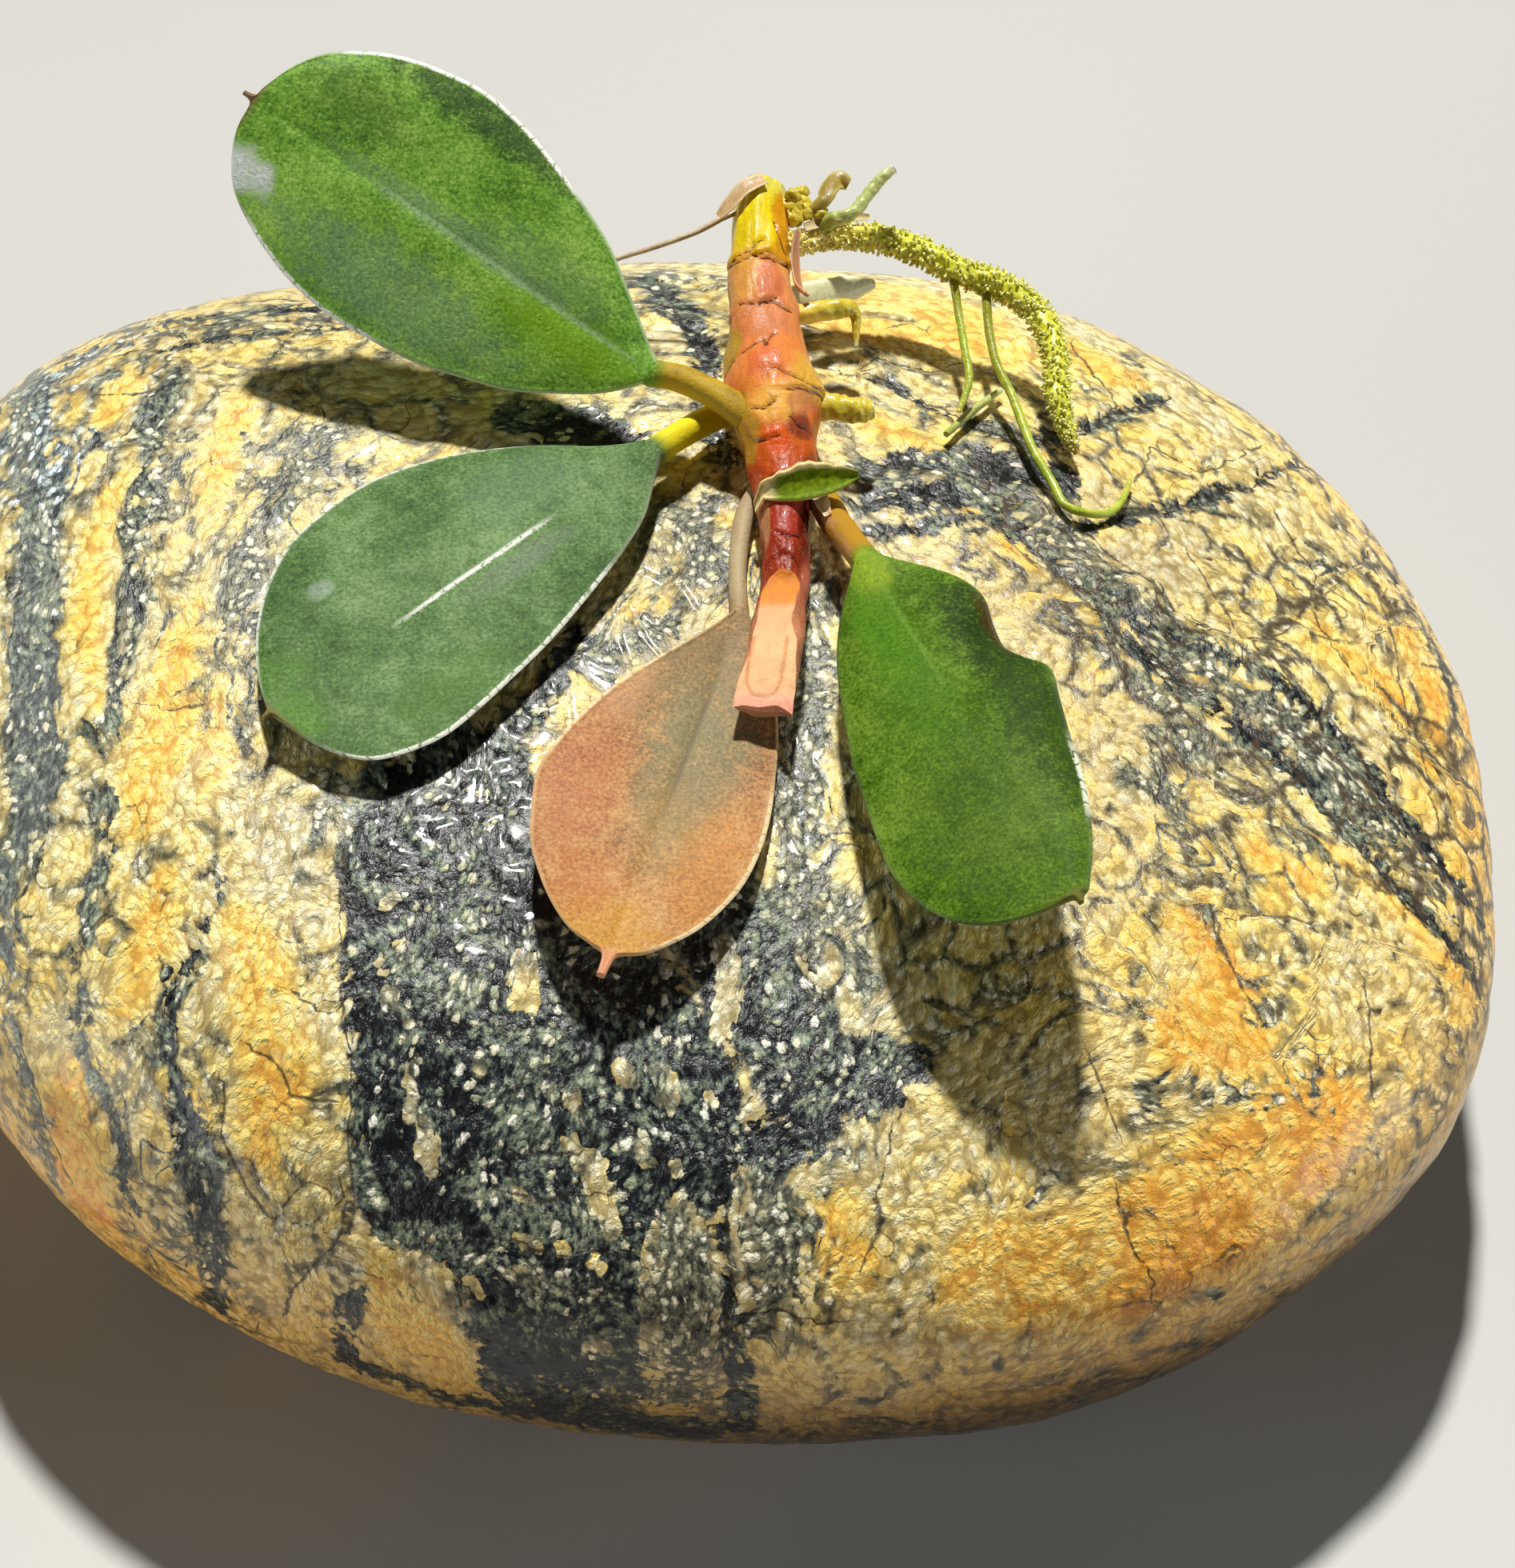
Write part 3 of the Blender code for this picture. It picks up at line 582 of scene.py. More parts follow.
def crackSides(spots, normals, tree):
    # distance to the nearest crack and the side of it, so that the line between the sides stays thin
    spots = swayed(spots, *stoneLook["crackSway"])
    best, side = np.full(len(spots), 9.0), np.ones(len(spots))
    for (start,), (end,) in stretches(tree, crackStrokes):
        gap = gapTo(spots, start, end)[0]
        turn = np.sign((np.cross(normals, end - start) * (spots - start)).sum(axis=1))
        nearer = gap < best
        best[nearer], side[nearer] = gap[nearer], turn[nearer]
    return best, side


def grainLean(spots, tree):
    # angle in plan of the grains at each spot, from the arrows near it
    centre = stoneLook["leanCentre"]
    sumX, sumY = np.zeros(len(spots)), np.zeros(len(spots))
    for (start,), (end,) in stretches(tree, grainArrows):
        angle = math.atan2(end[1] - start[1], end[0] - start[0])
        gap = np.linalg.norm(spots - (start + end) / 2, axis=1)
        weight = 1 / (gap ** 2 + stoneLook["leanReach"]) ** 1.5
        sumX += weight * math.cos(2 * angle - centre * 2)
        sumY += weight * math.sin(2 * angle - centre * 2)
    return centre + np.arctan2(sumY, sumX) / 2 + 0.3 * noiseOf(spots, 4)


def noiseOf(spots, spacing):
    return np.array([noise.noise(Vector(spot)) for spot in spots / spacing])


def swayed(spots, *sways):
    # the spots moved about a little: how far, and the spacing of the noise
    moves = [far * np.array([noise.noise_vector(Vector(spot)) for spot in spots / spacing])
             for far, spacing in sways]
    return spots + sum(moves)


def stoneFinish():
    f = Finish("wetPebble", {"Coat Weight": 0.3, "Coat Roughness": 0.1})
    dark, grey, orange, pale, crack, nearCrack = f.marks("dark grey orange pale crack nearCrack")
    lean, broad, middle, patchy, folia = f.marks("lean broad middle patchy folia")
    folia = abs(folia)

    # the grains lie along their lean, which turns in small steps
    place = f.add("ShaderNodeAttribute", {"attribute_name": "grainPlace"}, output="Vector")
    turned = f.add("ShaderNodeVectorRotate", {"rotation_type": "Z_AXIS"},
                   {"Vector": place, "Angle": 0 - f.math("SNAP", lean, 0.35)})
    grain = f.scaled(turned, (0.7, 1.0, 0.9))
    fine = f.clouds(grain, 2.4, 3.0, 0.62)
    ripple = f.scaled(f.shifted(f.other(fine, "Color"), (-0.5, -0.5, -0.5)), (0.6, 0.66, 0.66))
    near = f.cells(f.shifted(grain, ripple), 1.6)
    chance, shade, third = f.parts(f.other(near, "Color"))
    plates = f.cells(f.shifted(grain, f.scaled(ripple, (0.75, 0.75, 0.75))), 0.31, "DISTANCE_TO_EDGE")
    grit, odd = fine - 0.5, shade - 0.5
    blob = f.fall(near + grit * 0.5 + odd * 0.14, 0.24, 0.46)
    lobe = f.fall(near + grit * 0.5, 0.30, 0.56)
    amber = f.rise(orange, -0.8, 1.4)

    # how high, how far left and right a spot is, and where the right side breaks into plates
    x, y, _ = f.parts(place)
    _, _, high = f.parts(f.place())
    leftward, rightward = f.fall(x, -38.0, -31.0), f.rise(x, 8.0, 24.0)
    plated = f.rise(x, 6.0, 20.0) * f.rise(y, -26.0, -8.0) * f.fall(y, 10.0, 24.0)
    plated = plated * f.rise(patchy + broad * 0.6, -0.8, 0.1)

    # warm body: low cream and golden lobes with brown between them, more golden in the named patches
    warmth = broad * 0.30 + patchy * 0.25 + grit * 0.35 + odd * 0.22 + amber * 0.42 + 0.28
    warmth = warmth + plated * (f.rise(plates, 0.05, 0.45) * 0.35 - 0.08) + rightward * 0.12
    warmth = warmth + f.fall(x, -40.0, -26.0) * f.fall(y, -6.0, 6.0) * 0.16 - f.rise(pale, -0.3, 0.4) * 0.3
    base = f.ramp(warmth, (
        (0.0, (196, 184, 138)), (0.3, (236, 216, 142)), (0.6, (246, 214, 108)), (1.0, (240, 178, 64))))
    light = f.ramp(warmth, (
        (0.0, (250, 246, 220)), (0.35, (252, 242, 184)), (0.7, (252, 232, 134)), (1.0, (250, 206, 90))))
    body = f.blend(lobe * (chance * 0.75 + 0.12), base, light)
    pit = f.blend(amber, (146, 122, 70), (184, 118, 38))
    body = f.blend(f.rise(near + grit * 0.6, 0.54, 0.72) * (0.5 + shade * 0.3 - amber * 0.1), body, pit)

    # grey green seams with pale grains: the named ones, and the borders of the islands
    moss = f.ramp(fine, ((0.32, (30, 34, 34)), (0.5, (88, 92, 80)), (0.68, (150, 148, 118))))
    cream = f.ramp(third, ((0.0, (150, 160, 134)), (0.4, (214, 212, 172)), (1.0, (252, 248, 230))))
    # the seams turn bluer at the far left towards the back: painted wet sheen
    seam = f.tinted(leftward * f.rise(y, 2.0, 16.0), f.blend(blob, moss, cream), (0.90, 1.08, 1.6))
    lined = broad * 0.7 + middle - amber * 0.8 + f.rise(grey, -2.5, 0.0) * 0.4 + plated * 0.3
    lined = f.rise(lined, -0.35, 0.35)
    border = f.fall(plates + grit * 0.14, 0.03, 0.12 + f.rise(patchy, -0.3, 0.4) * 0.12) * lined
    greyness = grey + f.fall(folia, 0.02, 0.11) * lined * 1.6 - broad + middle * 1.4 + (odd + grit) * 1.2
    color = f.blend(f.math("MAXIMUM", f.rise(greyness, 0.0, 1.2), border * 0.8), body, seam)

    # dark bands: blue black with grey green clouds, and pale grains that crowd in places
    greenish = f.rise(grey, -0.6, 1.2)
    night = f.ramp(fine * 0.95 + middle * 0.24 + patchy * 0.12 + greenish * 0.03 + leftward * 0.03 - 0.02, (
        (0.36, (7, 9, 13)), (0.46, (28, 34, 40)), (0.54, (72, 82, 74)), (0.64, (118, 128, 106)),
        (0.8, (176, 180, 150))))
    # at the far left the dark bands are lightened towards pale blue grey: painted wet sheen
    night = f.blend(leftward * 0.45, night, f.brightened((190, 198, 192), fine))
    crowd = f.rise(patchy + middle * 0.8 + greenish * 0.7, -0.35, 0.6) + greenish * 0.5 + leftward * 0.5
    dot = f.ramp(third, (
        (0.0, (112, 126, 108)), (0.35, (156, 164, 134)), (0.65, (222, 218, 180)), (1.0, (254, 252, 240))))
    night = f.blend(f.rise(chance + crowd * 0.44, 0.82, 0.92) * blob, night, dot)
    # the dark bands darken towards the foot: painted shade
    night = f.brightened(night, 0.55 + f.rise(high, 1.0, 10.0) * 0.45)
    color = f.blend(f.rise(dark + middle * 0.8 + grit * 1.1 + odd * 0.9, -0.2, 0.35), color, night)

    # thin dark lines: along the grain, between plates, and the named cracks
    foliaLine = f.fall(folia + grit * 0.02, 0.004, 0.026) * lined
    plateLine = f.fall(plates + grit * 0.10, 0.0, 0.03 + plated * 0.05)
    plateLine = plateLine * f.rise(middle * 1.2 + broad * 0.4 + plated * 0.9, -0.3, 0.6)
    crackLine = f.fall(abs(crack) + grit * 0.4, 0.02, 0.2 + middle * 0.2) * nearCrack
    lines = f.math("MAXIMUM", foliaLine * 0.7, plateLine * (0.75 + plated * 0.15))
    lines = f.math("MAXIMUM", lines, crackLine * 0.85)
    color = f.blend(lines, color, f.blend(plated, (46, 37, 29), (78, 64, 46)))

    # deeper on the right and at the far left, browner towards the foot, and darker at the front of it and in
    # its lowest 4 mm, which is painted shade
    deeper = rightward * f.fall(x, 26.0, 40.0) * f.fall(y, 14.0, 26.0)
    deeper = deeper + f.rise(y, 14.0, 28.0) * f.fall(x, -12.0, 0.0)
    color = f.tinted(deeper, color, (0.90, 0.86, 0.78))
    color = f.tinted(f.fall(high, 13.0, 29.0) * 0.95, color, (1.0, 0.66, 0.27))
    front = f.fall(high, 12.0, 22.0) * f.fall(y - x * 0.3, -46.0, -26.0)
    color = f.brightened(color, (0.62 + fine) * (0.7 + f.rise(high, 0.0, 4.0) * 0.3) * (1 - front * 0.88))
    return f.show(color, 0.24 + fine * 0.3, f.fall(near, 0.0, 0.6) * 0.5 + fine * 0.5, 0.22)


def makeStone():
    look = stoneLook
    tree = roundedSolid("stone", look["rounding"])
    low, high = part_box("stone")
    centre = (low + high) / 2 / mm
    bm = bmesh.new()
    bmesh.ops.create_icosphere(bm, subdivisions=look["ball"], radius=1.0)

    def ontoSolid(middle):
        for vert in bm.verts:
            vert.co = tree.ray_cast(centre, (vert.co - middle).normalized())[0]
        bm.normal_update()

    ontoSolid(Vector())
    upper = [edge for edge in bm.edges if any(
        face.calc_center_median().z > look["fineAbove"] and face.normal.dot(towardCamera) > look["fineFacing"]
        for face in edge.link_faces)]
    bmesh.ops.subdivide_edges(bm, edges=upper, cuts=1, use_grid_fill=True)
    ontoSolid(centre)
    bmesh.ops.triangulate(bm, faces=bm.faces)
    bm.normal_update()
    spots = np.array([vert.co for vert in bm.verts])
    normals = np.array([vert.normal for vert in bm.verts])

    crack, side = crackSides(spots, normals, tree)
    lean = grainLean(spots, tree)
    grainPlace = swayed(spots, (look["sway"], look["swaySpacing"]))
    x, y, z = grainPlace.T
    sine, cosine = np.sin(lean), np.cos(lean)
    turned = np.stack([x * cosine + y * sine, y * cosine - x * sine, z], axis=1)
    orange = strokeReach(spots, tree, orangeStrokes)
    pale = strokeReach(swayed(spots, (look["paleSway"], look["paleSpacing"])), tree, paleStrokes)
    dark = np.minimum(strokeReach(spots, tree, darkStrokes), 0.6 - np.maximum(orange, pale) * 1.5)
    dark[pale > 0] = -1.5
    broad = noiseOf(spots, 9) + 0.6 * noiseOf(spots, 3.2)

    # bands go on round the back, where no stroke reaches
    hidden = np.clip(0.5 - normals @ np.array(towardCamera) * 4, 0, 1)
    x, y, z = swayed(spots, *look["backSway"]).T
    dipX, dipZ = look["dip"]
    bent = np.stack([x * dipX + z * dipZ, y, z * dipX - x * dipZ], axis=1)
    layers = noiseOf(bent, look["bandSize"]) + 0.12 * broad

    def banded(reach, begin, most):
        band = np.clip(strokeLimit + (layers - begin) * look["bandEdge"], 0, most)
        return np.maximum(reach, -strokeLimit + hidden * band)

    marks = {
        "dark": banded(dark, look["darkFrom"], 5),
        "grey": banded(strokeReach(spots, tree, greyStrokes), look["greyFrom"], 4.4),
        "orange": orange, "pale": pale, "lean": lean, "broad": broad,
        "middle": noiseOf(turned, (3.2, 1.5, 2.0)) + 0.4 * noiseOf(turned, (1.6, 0.8, 1.0)),
        "patchy": noiseOf(turned + 40, (7.0, 3.4, 5.0)),
        "folia": noiseOf(turned + 80, (13.0, 2.6, 4.0)) + 0.4 * noiseOf(turned, (5.0, 1.2, 2.0)),
        "crack": crack * side, "nearCrack": np.clip(1.6 - crack, 0, 1),
    }
    height = sum(lift * noiseOf(spots, spacing) for spacing, lift in look["lumps"])
    for i, spot in enumerate(turned * look["grainsPerMm"]):
        near, far = noise.voronoi(Vector(spot))[0][:2]
        height[i] -= look["grainRelief"] * (1 - smooth(far - near, 0.0, look["jointWide"]))
    height -= look["grooveDepth"] * np.exp(-(crack / look["grooveWide"]) ** 2)
    height -= look["darkSunk"] * np.clip(marks["dark"], 0, 1)
    height *= np.clip(spots[:, 2] / 2.0, 0, 1)       # the worn resting face stays flat
    for vert, place in zip(bm.verts, spots + normals * height[:, None] - np.array(plantPlace)):
        vert.co = place
        vert.co.z = max(vert.co.z, 0.0)
    attributes = finishPiece("pebble", bm, stoneFinish(), "stone", "stone", sharp=80).data.attributes
    for name, values in marks.items():
        attributes.new(name, 'FLOAT', 'POINT').data.foreach_set("value", values.astype(np.float32))
    attributes.new("grainPlace", 'FLOAT_VECTOR', 'POINT').data.foreach_set(
        "vector", grainPlace.astype(np.float32).ravel())


# Leaves. A row of a blade is distance from its base, half width right and half width left.
# Patches are distance along, distance across, half length, half width, color and strength.
leafLook = {"rows": 132, "sides": 96, "thick": 0.40, "stalkShare": 0.24, "midribWide": 0.55, "beadHigh": 0.07}
leaves = {
    "leaf_upper_left": dict(
        stalk=((4.4, 13.1, 37.8, 0.95), (2.9, 14.0, 38.9, 0.95), (1.2, 15.0, 39.5, 0.9),
            (-0.8, 15.8, 40.0, 0.85)),
        base=(-2.6, 15.9, 40.4), tip=(-26.9, 29.3, 50.6), faces=(-0.05, -0.64, 0.77),
        arch=0.7, droopRight=0.5, droopLeft=0.5, gloss=0.35, midribDeep=0.12, rimFaint=0.3,
        rows=((0, 0.8, 0.8), (1.0, 1.4, 2.0), (2.2, 2.2, 3.1), (4.0, 3.4, 4.3), (6.5, 5.0, 5.8),
            (9.3, 6.2, 6.8), (12.3, 7.3, 7.7), (15.3, 8.1, 8.1), (18.2, 8.4, 8.3), (21.0, 8.0, 8.0),
            (23.5, 7.3, 7.3), (25.8, 6.2, 6.3), (27.5, 4.9, 5.2), (28.7, 3.1, 3.7), (29.4, 1.2, 2.1),
            (29.6, 0.35, 0.4), (30.3, 0.15, 0.15)),
        colors=dict(main=(104, 156, 38), deep=(56, 102, 18), light=(158, 196, 86), stalk=(156, 126, 18),
                    stalkLow=(194, 160, 34), rim=(248, 250, 240), mucro=(120, 90, 50)),
        rib=(2.0, 21.0, 0.45), ribColor=(176, 200, 160),
        rimShows=((10.0, 27.0, 1, 0.9), (15.0, 26.0, -1, 1.0)),
        patches=((5.5, -1.2, 5.0, 1.5, (122, 168, 20), 0.85),
            # the grey green patch on the left half at 16 mm along is painted sheen
            (16.0, -5.0, 8.0, 2.6, (120, 152, 112), 0.55), (14.0, 0.4, 8.5, 0.8, (132, 168, 122), 0.5),
            (27.6, -3.9, 1.9, 1.3, (206, 214, 206), 1.0), (9.0, 1.6, 5.0, 1.6, (104, 140, 84), 0.45),
            # the near black patch along the right margin at 16 mm along is painted shade where that margin
            # curls down
            (24.0, 3.4, 4.0, 2.0, (66, 96, 24), 0.5), (16.0, 7.0, 8.0, 1.2, (30, 54, 16), 0.7)),
        curls=((26.5, 2.2, 1, -0.55, 0.72), (13.0, 6.0, 1, -0.25, 0.75))),
    "leaf_middle_left": dict(
        stalk=((4.3, 17.0, 37.4, 0.95), (2.6, 16.3, 37.2, 0.95), (0.9, 14.9, 37.4, 0.9),
            (-1.0, 12.9, 37.9, 0.85)),
        base=(-2.5, 11.2, 38.2), tip=(-24.5, -9.5, 37.7), faces=(0.0, -0.12, 1.0),
        arch=0.3, droopRight=0.6, droopLeft=0.0, gloss=0.18, midribDeep=0.07, rimFaint=0.3,
        rows=((0, 0.8, 0.8), (1.0, 1.7, 1.5), (2.2, 2.8, 2.4), (4.0, 4.5, 3.6), (6.4, 6.4, 4.6),
            (9.2, 8.1, 5.5), (12.1, 9.2, 6.3), (15.0, 9.8, 7.0), (18.0, 9.7, 7.5), (21.0, 9.1, 7.9),
            (23.7, 7.8, 8.0), (26.1, 5.9, 7.4), (27.9, 3.9, 6.4), (29.1, 2.1, 4.6), (29.7, 0.9, 2.6),
            (30.0, 0.4, 0.4), (30.6, 0.15, 0.15)),
        colors=dict(main=(80, 114, 54), deep=(44, 76, 28), light=(124, 154, 100), stalk=(248, 236, 30),
                    stalkLow=(240, 222, 34), rim=(240, 242, 226), mucro=(120, 110, 60)),
        # the near white midrib is partly a pale rib and partly a painted highlight
        rib=(9.0, 20.5, 0.95), ribColor=(244, 246, 234),
        rimShows=((6.0, 29.0, 1, 0.55), (8.0, 29.5, -1, 1.0)),
        patches=((8.0, 3.2, 3.6, 2.4, (104, 138, 100), 0.4), (28.6, 1.4, 2.6, 1.6, (92, 138, 50), 0.4),
            (29.2, -1.4, 1.8, 1.8, (98, 150, 40), 0.45), (21.0, -5.6, 4.0, 1.6, (88, 130, 50), 0.45),
            # the small pale patch at 22.1 mm along is a painted glint
            (22.1, 4.9, 0.9, 0.6, (196, 210, 196), 0.35), (12.0, -1.4, 4.0, 0.9, (120, 128, 112), 0.5)),
        curls=((28.5, 1.2, 1, -0.35, 0.6),)),
    "leaf_brown": dict(
        stalk=((4.6, 10.4, 36.9, 0.6), (3.35, 8.6, 36.1, 0.6), (2.9, 6.2, 35.85, 0.6),
            (2.75, 3.2, 35.85, 0.55)),
        base=(2.9, -0.1, 35.76), tip=(-4.4, -26.0, 36.2), faces=(0.17, 0.0, 1.0),
        arch=-0.1, droopRight=-0.5, droopLeft=-0.1, gloss=0.3, midribDeep=0.16, rimFaint=0.3,
        rows=((0, 0.6, 0.6), (0.9, 1.1, 1.2), (2.0, 1.7, 2.0), (3.6, 2.7, 3.0), (5.7, 4.0, 3.9),
            (8.1, 5.3, 4.7), (10.8, 6.5, 5.3), (13.5, 7.3, 5.8), (16.2, 7.7, 6.0), (18.9, 7.2, 5.8),
            (21.3, 6.5, 5.1), (23.5, 5.2, 4.1), (25.1, 3.9, 2.9), (26.2, 2.6, 1.8), (26.7, 1.3, 0.8),
            (27.1, 0.4, 0.4), (28.5, 0.25, 0.25)),
        colors=dict(main=(184, 132, 80), deep=(112, 72, 40), light=(208, 168, 112), stalk=(180, 150, 114),
                    stalkLow=(186, 168, 128), rim=(246, 222, 172), mucro=(214, 148, 108)),
        rib=(5.0, 16.0, 0.5), ribColor=(84, 70, 44),
        rimShows=((12.0, 26.0, -1, 0.9), (3.0, 15.0, 1, 0.6)),
        patches=((5.0, 0.0, 6.5, 4.6, (140, 124, 86), 0.8), (11.5, -0.6, 7.0, 3.0, (134, 126, 88), 0.8),
            (17.5, -0.4, 3.6, 1.6, (162, 132, 76), 0.6), (19.5, -3.8, 5.5, 2.2, (202, 136, 54), 0.6),
            (25.0, 0.6, 2.4, 3.4, (200, 144, 44), 0.75), (17.0, 5.2, 6.0, 2.4, (190, 118, 74), 0.6),
            (22.5, 2.8, 2.6, 2.2, (184, 112, 58), 0.65), (7.0, 4.6, 3.6, 1.2, (210, 160, 116), 0.5)),
        curls=()),
    "leaf_right": dict(
        stalk=((6.2, 10.4, 37.1, 0.95), (7.7, 8.8, 37.1, 0.95), (8.7, 6.2, 37.3, 0.95),
            (9.7, 3.9, 37.8, 0.9)),
        base=(10.5, 1.9, 38.4), tip=(21.6, -25.6, 41.0), faces=(-0.30, -0.10, 0.95),
        arch=0.5, droopRight=0.6, droopLeft=1.6, gloss=0.1, midribDeep=0.05, rimFaint=0.06,
        rows=((0, 0.8, 0.8), (0.9, 1.7, 1.7), (2.2, 2.8, 3.0), (4.0, 3.9, 4.2), (6.0, 4.8, 4.8),
            (8.0, 5.5, 4.4), (9.8, 6.0, 4.3), (11.6, 6.5, 4.9), (13.4, 7.0, 5.8), (15.8, 7.4, 5.3),
            (18.8, 7.9, 4.6), (21.8, 8.2, 4.0), (24.7, 7.7, 3.1), (27.1, 6.5, 2.1), (28.6, 4.7, 1.3),
            (29.5, 2.3, 0.8), (29.8, 0.4, 0.4), (30.4, 0.15, 0.15)),
        colors=dict(main=(72, 104, 12), deep=(34, 62, 4), light=(112, 142, 46), stalk=(190, 142, 98),
                    stalkLow=(182, 136, 36), rim=(226, 230, 206), mucro=(104, 106, 44)),
        rib=(0.5, 12.0, 0.35), ribColor=(124, 164, 66),
        rimShows=((19.0, 25.0, -1, 0.9),),
        patches=((1.2, 0.3, 1.6, 1.2, (150, 176, 44), 0.85), (6.0, 1.4, 4.5, 1.6, (84, 134, 26), 0.7),
            (12.0, 1.6, 5.0, 2.2, (72, 118, 28), 0.55), (22.0, 1.0, 6.0, 5.0, (74, 98, 38), 0.5),
            # the dark patches on the left half at 9, 18 and 8.3 mm along are painted shade where that margin
            # turns down and folds under
            (9.0, -3.6, 4.4, 1.8, (32, 50, 14), 0.85), (18.0, -4.4, 7.4, 2.4, (42, 66, 8), 0.8),
            (28.6, 2.0, 0.8, 3.4, (100, 130, 44), 0.2), (8.3, -4.5, 2.6, 0.6, (70, 52, 14), 0.95)),
        curls=((8.8, 1.9, -1, -0.9, 0.55),)),
}


def leafShape(shape):
    base = Vector(shape["base"])
    run = (Vector(shape["tip"]) - base).normalized()
    faces = Vector(shape["faces"])
    normal = (faces - run * faces.dot(run)).normalized()
    return base, run, normal, run.cross(normal)


def makeLeaf(node, shape):
    base, run, normal, right = leafShape(shape)
    name, rows, stalkShare = camel(node), shape["rows"], leafLook["stalkShare"]
    length, stalkRadius = rows[-1][0], shape["stalk"][-1][3]
    stalkPath = [*shape["stalk"], (*base, stalkRadius)]
    halfThin = leafLook["thick"] / 2
    seed = Vector((len(name), length, 3.0))

    def stalkPlace(share, angle):
        centre, radius, across, out = frameAt(stalkPath, share, normal)
        flat = signedPower(math.sin(angle), 1 - 0.45 * smooth(share, 0.75, 1.0))
        lumps = 0.05 * noise.noise(centre * 0.8 + seed) + 0.035 * math.cos(3 * angle + 2 * share)
        skin = radius * (1 + lumps)
        co = centre + across * math.cos(angle) * skin + out * flat * skin
        return co, {"alongMm": -(1 - share) * 5, "acrossMm": math.cos(angle) * radius, "edgeMm": 2.0,
                    "onStalk": 1 - smooth(share, 0.82, 1.0), "under": 0.0}

    def bladePlace(share, angle):
        distance, halfRight, halfLeft = along(rows, share)
        halfRight, halfLeft = max(halfRight, 0.1), max(halfLeft, 0.1)
        side = signedPower(math.cos(angle), 1.25)
        width, droop = (halfRight, shape["droopRight"]) if side > 0 else (halfLeft, shape["droopLeft"])
        across, inward = side * width, (1 - abs(side)) * width
        top = math.sin(angle) >= 0
        part = min(max(distance / length, 0.0), 1.0)
        arc = math.sin(math.pi * part)
        centre = base + run * distance + normal * shape["arch"] * arc
        rim = (1 - abs(side) ** 5) ** 0.5
        fade = max(0.0, 1 - distance / (4 * stalkRadius))
        thick = min(halfThin + (stalkRadius - halfThin) * fade ** 2, max(halfRight, halfLeft))
        drop = droop * side ** 2 * max(arc, 0.0) ** 0.5
        blade = smooth(distance, 1.0, 5.0) * (1 - smooth(distance, length - 4, length - 1))
        groove = shape["midribDeep"] * bell(across, 0.0, leafLook["midribWide"] * (1.1 - 0.6 * part)) * blade
        lift = thick * rim - groove if top else groove * 0.4 - thick * rim
        lift += leafLook["beadHigh"] * bell(inward, 0.2, 0.13) * top
        wave = 0.16 * noise.noise(Vector((distance * 0.22, across * 0.2, 0)) + seed)
        wave += 0.02 * noise.noise(Vector((distance * 1.1, across * 1.1, 0)) + seed)
        for where, spread, whichSide, amount, begins in shape["curls"]:
            if side * whichSide > begins:
                wave += amount * bell(distance, where, spread) * ((abs(side) - begins) / (1 - begins)) ** 1.5
        co = centre + right * across + normal * (lift - drop + wave * blade)
        return co, {"alongMm": distance, "acrossMm": across, "edgeMm": inward, "onStalk": 0.0,
                    "under": 0.0 if top else rim}

    def place(t, angle):
        if t < stalkShare:
            return stalkPlace(t / stalkShare, angle)
        return bladePlace((t - stalkShare) / (1 - stalkShare), angle)

    bm = rolledTube(leafLook["rows"], leafLook["sides"], place)
    slot = "brown_leaf" if node == "leaf_brown" else "leaf"
    finishPiece(name, bm, leafFinish(name, shape), slot, node)


